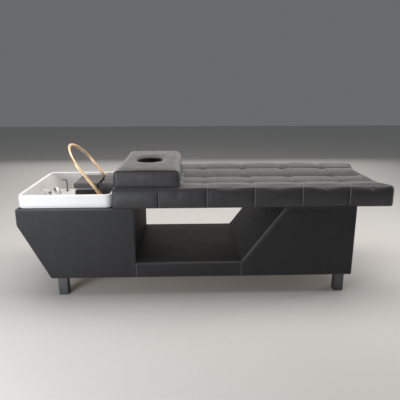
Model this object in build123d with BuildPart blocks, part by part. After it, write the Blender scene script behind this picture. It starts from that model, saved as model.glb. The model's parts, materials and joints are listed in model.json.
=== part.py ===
"""Hair washing bed: upholstered base with a through niche, tufted mattress, face pillow and wash basin.

Millimetres. +X runs to the foot end, +Y to the rear, +Z up. The origin lies on the floor under the
middle of the bed, whose head end is at -X.
"""

from build123d import *
import math
import os

os.makedirs("parts", exist_ok=True)

# Overall sizes
bed_length = 2000.0
bed_width = 690.0
leg_height = 100.0
cabinet_height = 390.0
foot_overhang = 192.0

# Base cabinet
panel = 18.0
edge_round = 6.0
head_upright = 86.0
head_setback = 155.0
head_bend_round = 40.0
plinth_height = 82.0
niche_start = 618.0
niche_floor_length = 574.0
niche_top_length = 808.0
bearer_width = 18.0
service_length = 180.0
service_width = 200.0
service_round = 20.0
service_start = 320.0

# Legs
leg_side = 50.0
leg_wall = 2.0
leg_plate = 4.0
leg_cap_height = 4.0
leg_plug_height = 14.0
leg_plug_clearance = 0.3
leg_inset = 11.0
leg_head_start = 190.0
leg_foot_start = 39.0
bolt_radius = 5.0
bolt_clearance = 0.3
bolt_head_radius = 9.0
bolt_head_height = 6.0
bolt_end = 12.0
nut_height = 8.0

# Beams under the mattress
beam_width = 30.0
beam_height = 28.0
beam_wall = 2.0
beam_spacing = 300.0
beam_clearance = 0.3

# Mattress and its board
mattress_gap = 2.0
mattress_side_height = 112.0
mattress_crest = 128.0
quilt_pitch = 252.5
seam_count = 5
strip_count = 4
first_seam = 240.5
valley_depth = 5.0
strip_valley_depth = 9.0
tuft_hollow_radius = 58.0
tuft_hollow_depth = 10.0
mattress_shoulder = 26.0
side_bulge = 5.0
side_ease = 0.4
foot_pull = 58.0
corner_flare = 110.0
flare_share = 0.65
board_thickness = 15.0
board_inset = 14.0
board_clearance = 0.3

# Face pillow
pillow_length = 339.0
pillow_side_gap = 15.0
pillow_side_height = 86.0
pillow_crown = 9.0
pillow_start = 14.0
pillow_seat = 114.0
pillow_corner = 8.0
pillow_shoulder = 16.0
pillow_end_round = 5.0
pillow_gap = 0.4
hole_length = 155.0
hole_width = 172.0
hole_offset = 6.0
pillow_board_thickness = 12.0
pillow_board_inset = 26.0

# Wash basin
basin_length = 503.0
basin_side_gap = 33.0
basin_end_gap = 2.0
basin_corner = 60.0
skirt_height = 71.0
skirt_wall = 6.0
basin_wall = 7.0
rim_width = 20.0
rim_round = 6.0
rim_inner_round = 4.0
ledge_cove = 10.0
bowl_cove = 16.0
wall_draft = 25.0
ledge_depth = 114.0
ledge_corner = 26.0
bowl_start = 200.0
bowl_length = 200.0
bowl_width = 380.0
bowl_depth = 112.0
bowl_draft = 22.0
bowl_corner = 60.0
bowl_flange = 15.0
bowl_flange_height = 6.0
cutout_clearance = 2.0

# Waste, strainer and trap
waste_radius = 26.0
waste_wall = 2.5
waste_flange_radius = 39.0
waste_flange_height = 3.0
waste_clearance = 0.5
waste_length = 40.0
waste_nut_radius = 36.0
waste_nut_height = 12.0
tail_radius = 16.0
tail_wall = 2.0
tail_length = 62.0
strainer_clearance = 0.4
strainer_depth = 26.0
strainer_wall = 1.2
strainer_lip = 3.0
strainer_knob_radius = 4.0
strainer_knob_height = 16.0
strainer_slot_radius = 2.2
strainer_slot_count = 8
strainer_slot_circle = 14.0
trap_radius = 32.0
trap_wall = 3.0
trap_height = 95.0
trap_collar_radius = 24.0
trap_collar_height = 16.0
trap_entry = 40.0
outlet_stub = 14.0
outlet_radius = 20.0
outlet_wall = 2.5
outlet_reach = 110.0
outlet_bend = 34.0
outlet_drop = 26.0
outlet_end_height = 8.0

# Mixer tap
mixer_start = 83.0
mixer_offset = -45.0
mixer_radius = 22.0
mixer_height = 53.0
mixer_flange_radius = 27.0
mixer_flange_height = 4.0
mixer_shank_radius = 17.0
mixer_shank_length = 48.0
mixer_hole_clearance = 1.0
mixer_nut_radius = 27.0
mixer_nut_height = 9.0
inlet_radius = 8.3
inlet_length = 28.0
inlet_spacing = 17.0
turret_height = 13.0
turret_gap = 0.3
turret_spindle_radius = 8.0
turret_spindle_length = 12.0
turret_clearance = 0.05
lever_setback = 12.0
lever_barrel_radius = 4.5
lever_pin_radius = 2.0
lever_length = 52.0
lever_width = 15.0
lever_thickness = 5.0
lever_rise = 8.0
lever_round = 1.5
cheek_round = 5.5
cheek_thickness = 3.5
cheek_gap = 0.3

# Hand shower, its deck socket and its hook
shower_start = 120.0
shower_offset = 28.0
socket_radius = 18.0
socket_wall = 4.0
socket_height = 8.0
socket_depth = 46.0
socket_flange_radius = 22.0
socket_flange_height = 4.0
grip_clearance = 0.1
grip_length = 52.0
neck_height = 34.0
shower_head_radius = 27.0
shower_head_thickness = 15.0
shower_head_tilt = 35.0
neck_taper_share = 0.75
hook_start = 118.0
hook_inset = 21.0
hook_radius = 3.5
hook_height = 74.0
hook_arm = 32.0
hook_bend = 9.0
hook_flange_radius = 10.0
hook_flange_height = 3.0

# Spray arch and its posts
arch_tilt = 53.8
arch_half_width = 163.0
arch_tube_radius = 8.0
arch_tube_wall = 1.2
arch_leg_length = 209.0
arch_rise = 137.0
arch_shoulder_radius = 110.0
arch_setback = 74.0
arch_pivot_height = 54.0
knuckle_radius = 12.0
knuckle_length = 26.0
sleeve_radius = 11.5
sleeve_length = 62.0
sleeve_socket = 34.0
spigot_radius = 6.0
spigot_clearance = 0.05
spigot_shoulder = 1.0
spigot_depth_share = 0.7
post_radius = 12.0
post_flange_radius = 18.0
post_flange_height = 5.0
post_dome = 5.0
post_tail_radius = 7.0
post_tail_length = 46.0
post_nut_radius = 13.0
post_nut_height = 8.0
post_hole_clearance = 0.5

# Head rest and neck rest
bracket_sheet = 3.0
bracket_width = 150.0
bracket_foot = 50.0
bracket_rise = 20.0
bracket_reach = 144.0
rest_base_length = 119.0
rest_base_width = 232.0
rest_base_height = 65.0
rest_base_round = 6.0
rail_height = 14.0
rail_width = 20.0
rail_length = 92.0
rail_spacing = 150.0
rail_inset = 8.0
rest_pad_length = 136.0
rest_pad_width = 236.0
rest_pad_height = 32.0
rest_pad_round = 9.0
rest_pad_gap = 0.3
rest_pad_overhang = 6.0
neck_width = 224.0
neck_height_above_rim = 18.0
neck_saddle_radius = 190.0
neck_saddle_depth = 34.0
neck_gap = 4.0
neck_wall_clearance = 3.0

cut_overrun = 20.0

# Positions that follow from the sizes
half_length = bed_length / 2
half_width = bed_width / 2
inner_width = bed_width - 2 * panel
basin_width = bed_width - 2 * basin_side_gap
pillow_width = bed_width - 2 * pillow_side_gap
cabinet_top = leg_height + cabinet_height
head_x = -half_length
toe_x = head_x + head_setback
bend_z = cabinet_top - head_upright
foot_x = half_length - foot_overhang
niche_head_x = head_x + niche_start
niche_floor_z = leg_height + plinth_height
niche_low_x = niche_head_x + niche_floor_length
niche_high_x = niche_head_x + niche_top_length
floor_top = leg_height + panel
niche_slope = math.atan2(cabinet_top - niche_floor_z, niche_high_x - niche_low_x)
slant_run = panel / math.sin(niche_slope)
beam_z = cabinet_top - beam_height
end_slope = math.atan2(bend_z - leg_height, head_setback)
end_run = panel / math.sin(end_slope)


def end_inner_x(z):
    """Inner face of the slanted head end at the height z."""
    return toe_x + end_run - (z - leg_height) / math.tan(end_slope)


# The two sides of the base, each of a head panel, a plinth rail and a foot panel
head_side_outline = [
    (head_x, cabinet_top),
    (head_x, bend_z),
    (toe_x, leg_height),
    (niche_head_x, leg_height),
    (niche_head_x, cabinet_top),
]
foot_side_outline = [
    (niche_low_x, leg_height),
    (niche_low_x, niche_floor_z),
    (niche_high_x, cabinet_top),
    (foot_x, cabinet_top),
    (foot_x, leg_height),
]
sides = {"front": half_width - panel, "rear": -half_width}

for side_name, side_offset in sides.items():
    outward = Axis.Y if side_name == "rear" else -Axis.Y

    with BuildPart() as head_side:
        with BuildSketch(Plane.XZ.offset(side_offset)):
            with BuildLine():
                Polyline(*head_side_outline, close=True)
            make_face()
            bend = vertices().sort_by_distance((head_x, bend_z))[0]
            fillet(bend, radius=head_bend_round)
        extrude(amount=panel)
        outer = faces().sort_by(outward)[-1]
        fillet(outer.edges(), radius=edge_round)
    head_side.part.label = f"head_{side_name}_panel"
    export_step(head_side.part, f"parts/head_{side_name}_panel.step")

    with BuildPart() as plinth_rail:
        with BuildSketch(Plane.XZ.offset(side_offset)):
            with Locations((niche_head_x, leg_height)):
                Rectangle(niche_floor_length, plinth_height, align=(Align.MIN, Align.MIN))
        extrude(amount=panel)
        outer = faces().sort_by(outward)[-1]
        fillet(outer.edges().filter_by(Axis.X), radius=edge_round)
    plinth_rail.part.label = f"plinth_{side_name}_rail"
    export_step(plinth_rail.part, f"parts/plinth_{side_name}_rail.step")

    with BuildPart() as foot_side:
        with BuildSketch(Plane.XZ.offset(side_offset)):
            with BuildLine():
                Polyline(*foot_side_outline, close=True)
            make_face()
        extrude(amount=panel)
        outer = faces().sort_by(outward)[-1]
        fillet(outer.edges(), radius=edge_round)
    foot_side.part.label = f"foot_{side_name}_panel"
    export_step(foot_side.part, f"parts/foot_{side_name}_panel.step")

# Head end: an upright strip that bends into the slanted underside
with BuildPart() as head_end:
    with BuildSketch(Plane.XZ.offset(-inner_width / 2)):
        with BuildLine():
            Polyline(
                (head_x, cabinet_top),
                (head_x, bend_z),
                (toe_x, leg_height),
                (toe_x + end_run, leg_height),
                (head_x + panel, leg_height + (toe_x + end_run - head_x - panel) * math.tan(end_slope)),
                (head_x + panel, cabinet_top),
                close=True,
            )
        make_face()
        bend = vertices().sort_by_distance((head_x, bend_z))[0]
        fillet(bend, radius=head_bend_round)
        bend = vertices().sort_by_distance((head_x + panel, bend_z))[0]
        fillet(bend, radius=head_bend_round - panel)
    extrude(amount=inner_width)
head_end.part.label = "head_end_panel"
export_step(head_end.part, "parts/head_end_panel.step")

# Floor board of the base, with the service opening under the basin and the leg bolt holes
leg_xs = (head_x + leg_head_start + leg_side / 2, foot_x - leg_foot_start - leg_side / 2)
leg_y = half_width - leg_inset - leg_side / 2
leg_places = [(x, y) for x in leg_xs for y in (-leg_y, leg_y)]
service_x = head_x + service_start + service_length / 2

with BuildPart() as base_floor:
    with BuildSketch(Plane.XZ.offset(-inner_width / 2)):
        with BuildLine():
            Polyline(
                (end_inner_x(leg_height), leg_height),
                (foot_x - panel, leg_height),
                (foot_x - panel, floor_top),
                (end_inner_x(floor_top), floor_top),
                close=True,
            )
        make_face()
    extrude(amount=inner_width)
    with BuildSketch(Plane.XY.offset(leg_height)):
        with Locations((service_x, 0)):
            RectangleRounded(service_length, service_width, service_round)
        with Locations(*leg_places):
            Circle(bolt_radius + bolt_clearance)
    extrude(amount=panel, mode=Mode.SUBTRACT)
base_floor.part.label = "base_floor"
export_step(base_floor.part, "parts/base_floor.step")

# Upright wall at the head side of the niche, notched for the two beams
with BuildPart() as niche_head_wall:
    with BuildSketch(Plane.YZ.offset(niche_head_x - panel)):
        with Locations((0, floor_top)):
            Rectangle(inner_width, cabinet_top - floor_top, align=(Align.CENTER, Align.MIN))
        with Locations((-beam_spacing / 2, beam_z), (beam_spacing / 2, beam_z)):
            Rectangle(
                beam_width + 2 * beam_clearance,
                beam_height,
                align=(Align.CENTER, Align.MIN),
                mode=Mode.SUBTRACT,
            )
    extrude(amount=panel)
niche_head_wall.part.label = "niche_head_wall"
export_step(niche_head_wall.part, "parts/niche_head_wall.step")

# Floor of the niche, and the bearers that carry it
with BuildPart() as niche_shelf:
    with BuildSketch(Plane.XY.offset(niche_floor_z - panel)):
        with Locations((niche_head_x, 0)):
            Rectangle(niche_floor_length + slant_run, inner_width, align=(Align.MIN, Align.CENTER))
    extrude(amount=panel)
niche_shelf.part.label = "niche_shelf"
export_step(niche_shelf.part, "parts/niche_shelf.step")

bearer_xs = [
    niche_head_x + bearer_width / 2,
    (niche_head_x + niche_low_x) / 2,
    niche_low_x + slant_run - bearer_width / 2,
]
with BuildPart() as shelf_bearers:
    with BuildSketch(Plane.XY.offset(floor_top)):
        with Locations(*[(x, 0) for x in bearer_xs]):
            Rectangle(bearer_width, inner_width)
    extrude(amount=niche_floor_z - panel - floor_top)
shelf_bearers.part.label = "shelf_bearers"
export_step(shelf_bearers.part, "parts/shelf_bearers.step")

# Slanted wall at the foot side of the niche, notched for the beams
with BuildPart() as niche_slant_wall:
    with BuildSketch(Plane.XZ.offset(-inner_width / 2)):
        with BuildLine():
            Polyline(
                (niche_low_x, niche_floor_z),
                (niche_high_x, cabinet_top),
                (niche_high_x + slant_run, cabinet_top),
                (niche_low_x + slant_run, niche_floor_z),
                close=True,
            )
        make_face()
    extrude(amount=inner_width)
    with BuildSketch(Plane.YZ.offset(niche_low_x)):
        with Locations((-beam_spacing / 2, beam_z), (beam_spacing / 2, beam_z)):
            Rectangle(beam_width + 2 * beam_clearance, beam_height, align=(Align.CENTER, Align.MIN))
    extrude(amount=niche_high_x + 2 * slant_run - niche_low_x, mode=Mode.SUBTRACT)
niche_slant_wall.part.label = "niche_slant_wall"
export_step(niche_slant_wall.part, "parts/niche_slant_wall.step")

# Foot end
with BuildPart() as foot_end:
    with BuildSketch(Plane.YZ.offset(foot_x - panel)):
        with Locations((0, leg_height)):
            Rectangle(inner_width, cabinet_height, align=(Align.CENTER, Align.MIN))
    extrude(amount=panel)
foot_end.part.label = "foot_end_panel"
export_step(foot_end.part, "parts/foot_end_panel.step")

# Two steel beams that carry the mattress across the niche
beam_length = foot_x - panel - (niche_head_x - panel)
for side_name, beam_y in (("front", -beam_spacing / 2), ("rear", beam_spacing / 2)):
    with BuildPart() as deck_beam:
        with BuildSketch(Plane.YZ.offset(niche_head_x - panel)):
            with Locations((beam_y, beam_z + beam_height / 2)):
                Rectangle(beam_width, beam_height)
                Rectangle(
                    beam_width - 2 * beam_wall,
                    beam_height - 2 * beam_wall,
                    mode=Mode.SUBTRACT,
                )
        extrude(amount=beam_length)
    deck_beam.part.label = f"deck_beam_{side_name}"
    export_step(deck_beam.part, f"parts/deck_beam_{side_name}.step")

# Legs: square tube with a welded top plate
leg_names = ["head_front", "head_rear", "foot_front", "foot_rear"]
for leg_name, (leg_x, leg_place_y) in zip(leg_names, leg_places):
    with BuildPart() as leg:
        with BuildSketch(Plane.XY.offset(leg_cap_height)):
            with Locations((leg_x, leg_place_y)):
                Rectangle(leg_side, leg_side)
        extrude(amount=leg_height - leg_cap_height)
        fillet(edges().filter_by(Axis.Z), radius=leg_wall)
        with BuildSketch(Plane.XY.offset(leg_cap_height)):
            with Locations((leg_x, leg_place_y)):
                Rectangle(leg_side - 2 * leg_wall, leg_side - 2 * leg_wall)
        extrude(amount=leg_height - leg_cap_height - leg_plate, mode=Mode.SUBTRACT)
        with BuildSketch(Plane.XY.offset(leg_height)):
            with Locations((leg_x, leg_place_y)):
                Circle(bolt_radius + bolt_clearance)
        extrude(amount=-leg_plate, mode=Mode.SUBTRACT)
    leg.part.label = f"leg_{leg_name}"
    export_step(leg.part, f"parts/leg_{leg_name}.step")

# Plastic caps that close the legs and stand on the floor
plug_side = leg_side - 2 * leg_wall - 2 * leg_plug_clearance
with BuildPart() as leg_caps:
    with BuildSketch():
        with Locations(*leg_places):
            RectangleRounded(leg_side, leg_side, leg_wall)
    extrude(amount=leg_cap_height)
    with BuildSketch(Plane.XY.offset(leg_cap_height)):
        with Locations(*leg_places):
            Rectangle(plug_side, plug_side)
            Rectangle(plug_side - 2 * leg_wall, plug_side - 2 * leg_wall, mode=Mode.SUBTRACT)
    extrude(amount=leg_plug_height)
leg_caps.part.label = "leg_caps"
export_step(leg_caps.part, "parts/leg_caps.step")

# Bolts that hold the legs to the floor board, with their nuts inside the tubes
bolt_bottom = leg_height - leg_plate - bolt_end
with BuildPart() as leg_bolts:
    with BuildSketch(Plane.XY.offset(bolt_bottom)):
        with Locations(*leg_places):
            Circle(bolt_radius)
    extrude(amount=floor_top - bolt_bottom)
    with BuildSketch(Plane.XY.offset(floor_top)):
        with Locations(*leg_places):
            RegularPolygon(bolt_head_radius, 6)
    extrude(amount=bolt_head_height)
leg_bolts.part.label = "leg_bolts"
export_step(leg_bolts.part, "parts/leg_bolts.step")

with BuildPart() as leg_nuts:
    with BuildSketch(Plane.XY.offset(leg_height - leg_plate)):
        with Locations(*leg_places):
            RegularPolygon(bolt_head_radius, 6)
            Circle(bolt_radius + bolt_clearance, mode=Mode.SUBTRACT)
    extrude(amount=-nut_height)
leg_nuts.part.label = "leg_nuts"
export_step(leg_nuts.part, "parts/leg_nuts.step")

# Wash basin
basin_x = head_x + basin_end_gap + basin_length / 2
basin_foot_x = basin_x + basin_length / 2
basin_head_x = basin_x - basin_length / 2
rim_z = cabinet_top + skirt_height
ledge_z = rim_z - ledge_depth
bowl_z = ledge_z - bowl_depth
bowl_x = basin_head_x + bowl_start + bowl_length / 2


def wall_inset(z):
    """Distance from the skirt's outside to the drafted inner wall at the height z."""
    return rim_width + wall_draft * (rim_z - z) / ledge_depth


def basin_outline(inset, corner):
    """Rounded rectangle that lies a given distance inside the basin's outside."""
    with Locations((basin_x, 0)):
        RectangleRounded(basin_length - 2 * inset, basin_width - 2 * inset, corner)


def bowl_outline(inset, corner):
    """Rounded rectangle of the bowl, a given distance inside its mouth."""
    with Locations((bowl_x, 0)):
        RectangleRounded(bowl_length - 2 * inset, bowl_width - 2 * inset, corner)


def bowl_inset(z):
    """Distance from the bowl's mouth to its drafted inner wall at the height z."""
    return bowl_draft * (ledge_z - z) / bowl_depth


mixer_place = (basin_head_x + mixer_start, mixer_offset)
shower_place = (basin_head_x + shower_start, shower_offset)
post_x = basin_foot_x - arch_setback
post_y = arch_half_width + knuckle_length / 2 + spigot_shoulder + post_radius
post_places = [(post_x, -post_y), (post_x, post_y)]
hook_place = (basin_head_x + hook_start, basin_width / 2 - wall_inset(ledge_z) - hook_inset)
underside_z = ledge_z - basin_wall

with BuildPart() as basin:
    with BuildSketch(Plane.XY.offset(cabinet_top)):
        basin_outline(0, basin_corner)
    extrude(amount=skirt_height)
    fillet(faces().sort_by(Axis.Z)[-1].edges(), radius=rim_round)
    with BuildSketch(Plane.XY.offset(cabinet_top)):
        basin_outline(skirt_wall, basin_corner - skirt_wall)
    extrude(amount=skirt_height - basin_wall, mode=Mode.SUBTRACT)
    with BuildSketch(Plane.XY.offset(rim_z - basin_wall)):
        basin_outline(wall_inset(rim_z - basin_wall) - basin_wall, basin_corner - rim_width + basin_wall)
    with BuildSketch(Plane.XY.offset(underside_z)):
        basin_outline(wall_inset(underside_z) - basin_wall, ledge_corner + basin_wall)
    loft()
    with BuildSketch(Plane.XY.offset(rim_z)):
        basin_outline(rim_width, basin_corner - rim_width)
    with BuildSketch(Plane.XY.offset(ledge_z)):
        basin_outline(wall_inset(ledge_z), ledge_corner)
    loft(mode=Mode.SUBTRACT)
    with BuildSketch(Plane.XY.offset(ledge_z)):
        bowl_outline(0, bowl_corner)
    with BuildSketch(Plane.XY.offset(underside_z)):
        bowl_outline(bowl_inset(underside_z), bowl_corner)
    loft(mode=Mode.SUBTRACT)
    with BuildSketch(Plane.XY.offset(ledge_z)):
        with Locations(mixer_place):
            Circle(mixer_shank_radius + mixer_hole_clearance)
        with Locations(shower_place):
            Circle(socket_radius + mixer_hole_clearance)
        with Locations(*post_places):
            Circle(post_tail_radius + post_hole_clearance)
    extrude(amount=-basin_wall, mode=Mode.SUBTRACT)
    inner_rim = faces().filter_by(Axis.Z).group_by(Axis.Z)[-1][0].inner_wires()[0]
    fillet(inner_rim.edges(), radius=rim_inner_round)
    ledge = faces().filter_by(Axis.Z).filter_by_position(Axis.Z, ledge_z, ledge_z)[0]
    fillet(ledge.outer_wire().edges(), radius=ledge_cove)
basin.part.label = "basin"
export_step(basin.part, "parts/basin.step")

# Bowl, bonded by its flange under the mouth in the basin's ledge
with BuildPart() as basin_bowl:
    with BuildSketch(Plane.XY.offset(underside_z)):
        bowl_outline(bowl_inset(underside_z) - basin_wall, bowl_corner + basin_wall)
    with BuildSketch(Plane.XY.offset(bowl_z - basin_wall)):
        bowl_outline(bowl_draft - basin_wall, bowl_corner)
    loft()
    with BuildSketch(Plane.XY.offset(underside_z)):
        bowl_outline(-bowl_flange, bowl_corner + bowl_flange)
    extrude(amount=-bowl_flange_height)
    with BuildSketch(Plane.XY.offset(underside_z)):
        bowl_outline(bowl_inset(underside_z), bowl_corner)
    with BuildSketch(Plane.XY.offset(bowl_z)):
        bowl_outline(bowl_draft, bowl_corner - basin_wall)
    loft(mode=Mode.SUBTRACT)
    with BuildSketch(Plane.XY.offset(bowl_z)):
        with Locations((bowl_x, 0)):
            Circle(waste_radius + waste_clearance)
    extrude(amount=-basin_wall, mode=Mode.SUBTRACT)
    bowl_floor = faces().filter_by(Axis.Z).filter_by_position(Axis.Z, bowl_z, bowl_z)[0]
    fillet(bowl_floor.outer_wire().edges(), radius=bowl_cove)
basin_bowl.part.label = "basin_bowl"
export_step(basin_bowl.part, "parts/basin_bowl.step")

# Board that the basin and the head of the mattress stand on
deck_start = head_x + panel
cutout_inset = wall_inset(cabinet_top) - basin_wall - cutout_clearance
with BuildPart() as basin_deck:
    with BuildSketch(Plane.XY.offset(cabinet_top - panel)):
        with Locations((deck_start, 0)):
            Rectangle(niche_head_x - panel - deck_start, inner_width, align=(Align.MIN, Align.CENTER))
        with Locations((basin_x, 0)):
            RectangleRounded(
                basin_length - 2 * cutout_inset,
                basin_width - 2 * cutout_inset,
                basin_corner - cutout_inset,
                mode=Mode.SUBTRACT,
            )
    extrude(amount=panel)
basin_deck.part.label = "basin_deck"
export_step(basin_deck.part, "parts/basin_deck.step")

# Waste with its flange in the bowl and its tail into the trap
waste_top = bowl_z + waste_flange_height
waste_bottom = bowl_z - waste_length
tail_end = waste_bottom - tail_length
drain_section = Plane(origin=(bowl_x, 0, 0), x_dir=(1, 0, 0), z_dir=(0, -1, 0))
drain_axis = Axis((bowl_x, 0, 0), (0, 0, 1))
with BuildPart() as waste_body:
    with BuildSketch(drain_section):
        with BuildLine():
            Polyline(
                (waste_radius - waste_wall, waste_top),
                (waste_flange_radius, waste_top - waste_flange_height / 2),
                (waste_flange_radius, bowl_z),
                (waste_radius, bowl_z),
                (waste_radius, waste_bottom),
                (tail_radius, waste_bottom),
                (tail_radius, tail_end),
                (tail_radius - tail_wall, tail_end),
                (tail_radius - tail_wall, waste_bottom + waste_wall),
                (waste_radius - waste_wall, waste_bottom + waste_wall),
                close=True,
            )
        make_face()
    revolve(axis=drain_axis)
waste_body.part.label = "waste_body"
export_step(waste_body.part, "parts/waste_body.step")

with BuildPart() as waste_nut:
    with BuildSketch(Plane.XY.offset(bowl_z - basin_wall)):
        with Locations((bowl_x, 0)):
            RegularPolygon(waste_nut_radius, 8)
            Circle(waste_radius + waste_clearance, mode=Mode.SUBTRACT)
    extrude(amount=-waste_nut_height)
waste_nut.part.label = "waste_nut"
export_step(waste_nut.part, "parts/waste_nut.step")

# Lift-out hair strainer: a perforated cup with a pull knob, hung by its lip on the flange
cup_radius = waste_radius - waste_wall - strainer_clearance
with BuildPart() as strainer:
    with BuildSketch(drain_section):
        with BuildLine():
            Polyline(
                (0, waste_top - strainer_depth),
                (cup_radius, waste_top - strainer_depth),
                (cup_radius, waste_top),
                (cup_radius + strainer_lip, waste_top),
                (cup_radius + strainer_lip, waste_top + strainer_wall),
                (cup_radius - strainer_wall, waste_top + strainer_wall),
                (cup_radius - strainer_wall, waste_top - strainer_depth + strainer_wall),
                (strainer_knob_radius, waste_top - strainer_depth + strainer_wall),
                (strainer_knob_radius, waste_top - strainer_depth + strainer_knob_height),
                (0, waste_top - strainer_depth + strainer_knob_height),
                close=True,
            )
        make_face()
    revolve(axis=drain_axis)
    with BuildSketch(Plane(origin=(bowl_x, 0, waste_top - strainer_depth))):
        with PolarLocations(strainer_slot_circle, strainer_slot_count):
            Circle(strainer_slot_radius)
    extrude(amount=strainer_wall, mode=Mode.SUBTRACT)
strainer.part.label = "strainer_basket"
export_step(strainer.part, "parts/strainer_basket.step")

# Bottle trap that the tail dips into, with a flat-ended stub for the outlet pipe
trap_top = tail_end + trap_entry
trap_bottom = trap_top - trap_height
outlet_z = trap_top - trap_wall - outlet_radius - outlet_drop
stub_x = bowl_x + trap_radius + outlet_stub
with BuildPart() as drain_trap:
    with BuildSketch(drain_section):
        with BuildLine():
            Polyline(
                (0, trap_bottom),
                (trap_radius, trap_bottom),
                (trap_radius, trap_top),
                (trap_collar_radius, trap_top),
                (trap_collar_radius, trap_top + trap_collar_height),
                (0, trap_top + trap_collar_height),
                close=True,
            )
        make_face()
    revolve(axis=drain_axis)
    with BuildSketch(Plane.YZ.offset(bowl_x)):
        with Locations((0, outlet_z)):
            Circle(outlet_radius)
    extrude(amount=stub_x - bowl_x)
    with BuildSketch(drain_section):
        with BuildLine():
            Polyline(
                (0, trap_bottom + trap_wall),
                (trap_radius - trap_wall, trap_bottom + trap_wall),
                (trap_radius - trap_wall, trap_top - trap_wall),
                (tail_radius + waste_clearance, trap_top - trap_wall),
                (tail_radius + waste_clearance, trap_top + trap_collar_height),
                (0, trap_top + trap_collar_height),
                close=True,
            )
        make_face()
    revolve(axis=drain_axis, mode=Mode.SUBTRACT)
    with BuildSketch(Plane.YZ.offset(bowl_x)):
        with Locations((0, outlet_z)):
            Circle(outlet_radius - outlet_wall)
    extrude(amount=stub_x - bowl_x, mode=Mode.SUBTRACT)
drain_trap.part.label = "drain_trap"
export_step(drain_trap.part, "parts/drain_trap.step")

# Outlet pipe, which turns down into the service opening
outlet_x = bowl_x + trap_radius + outlet_reach
outlet_end_z = leg_height + outlet_end_height
outlet_straight_z = outlet_z - outlet_bend
with BuildPart() as drain_outlet:
    with BuildLine() as outlet_path:
        FilletPolyline(
            (stub_x, 0, outlet_z),
            (outlet_x, 0, outlet_z),
            (outlet_x, 0, outlet_straight_z - outlet_wall),
            radius=outlet_bend,
        )
    with BuildSketch(Plane.YZ.offset(stub_x)):
        with Locations((0, outlet_z)):
            Circle(outlet_radius)
            Circle(outlet_radius - outlet_wall, mode=Mode.SUBTRACT)
    sweep(path=outlet_path.line)
    with BuildSketch(Plane.XY.offset(outlet_end_z)):
        with Locations((outlet_x, 0)):
            Circle(outlet_radius)
            Circle(outlet_radius - outlet_wall, mode=Mode.SUBTRACT)
    extrude(amount=outlet_straight_z - outlet_end_z)
drain_outlet.part.label = "drain_outlet"
export_step(drain_outlet.part, "parts/drain_outlet.step")

# Mixer tap: body through the ledge, backnut, turning turret and lifting lever
mixer_x, mixer_y = mixer_place
mixer_top = ledge_z + mixer_height
shank_end = ledge_z - mixer_shank_length
mixer_section = Plane(origin=(mixer_x, mixer_y, 0), x_dir=(1, 0, 0), z_dir=(0, -1, 0))
mixer_axis = Axis((mixer_x, mixer_y, 0), (0, 0, 1))
spindle_depth = turret_spindle_length + turret_gap
with BuildPart() as mixer_body:
    with BuildSketch(mixer_section):
        with BuildLine():
            Polyline(
                (0, shank_end),
                (mixer_shank_radius, shank_end),
                (mixer_shank_radius, ledge_z),
                (mixer_flange_radius, ledge_z),
                (mixer_flange_radius, ledge_z + mixer_flange_height),
                (mixer_radius, ledge_z + mixer_flange_height),
                (mixer_radius, mixer_top),
                (turret_spindle_radius + turret_clearance, mixer_top),
                (turret_spindle_radius + turret_clearance, mixer_top - spindle_depth),
                (0, mixer_top - spindle_depth),
                close=True,
            )
        make_face()
    revolve(axis=mixer_axis)
    with BuildSketch(Plane.XY.offset(shank_end)):
        with Locations((mixer_x, mixer_y)):
            with GridLocations(0, inlet_spacing, 1, 2):
                Circle(inlet_radius)
    extrude(amount=-inlet_length)
mixer_body.part.label = "mixer_body"
export_step(mixer_body.part, "parts/mixer_body.step")

with BuildPart() as mixer_nut:
    with BuildSketch(Plane.XY.offset(underside_z)):
        with Locations((mixer_x, mixer_y)):
            RegularPolygon(mixer_nut_radius, 6)
            Circle(mixer_shank_radius + turret_clearance, mode=Mode.SUBTRACT)
    extrude(amount=-mixer_nut_height)
mixer_nut.part.label = "mixer_nut"
export_step(mixer_nut.part, "parts/mixer_nut.step")

turret_z = mixer_top + turret_gap
turret_top = turret_z + turret_height
lever_x = mixer_x + lever_setback
lever_pivot_z = turret_top + turret_gap + lever_barrel_radius
cheek_inner = lever_width / 2 + cheek_gap
cheek_outer = cheek_inner + cheek_thickness
with BuildPart() as mixer_turret:
    with BuildSketch(mixer_section):
        with BuildLine():
            Polyline(
                (0, turret_z - turret_spindle_length),
                (turret_spindle_radius, turret_z - turret_spindle_length),
                (turret_spindle_radius, turret_z),
                (mixer_radius, turret_z),
                (mixer_radius, turret_top),
                (0, turret_top),
                close=True,
            )
        make_face()
    revolve(axis=mixer_axis)
    with BuildSketch(Plane.XZ.offset(-mixer_y - cheek_outer)):
        with Locations((lever_x, lever_pivot_z)):
            Circle(cheek_round)
        with Locations((lever_x, turret_top)):
            Rectangle(2 * cheek_round, lever_pivot_z - turret_top, align=(Align.CENTER, Align.MIN))
    extrude(amount=2 * cheek_outer)
    with BuildSketch(Plane.XZ.offset(-mixer_y - cheek_inner)):
        with Locations((lever_x, turret_top)):
            Rectangle(4 * cheek_round, 4 * cheek_round, align=(Align.CENTER, Align.MIN))
    extrude(amount=2 * cheek_inner, mode=Mode.SUBTRACT)
    with BuildSketch(Plane.XZ.offset(-mixer_y - cheek_inner)):
        with Locations((lever_x, lever_pivot_z)):
            Circle(lever_pin_radius)
    extrude(amount=2 * cheek_inner)
mixer_turret.part.label = "mixer_turret"
export_step(mixer_turret.part, "parts/mixer_turret.step")

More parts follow.
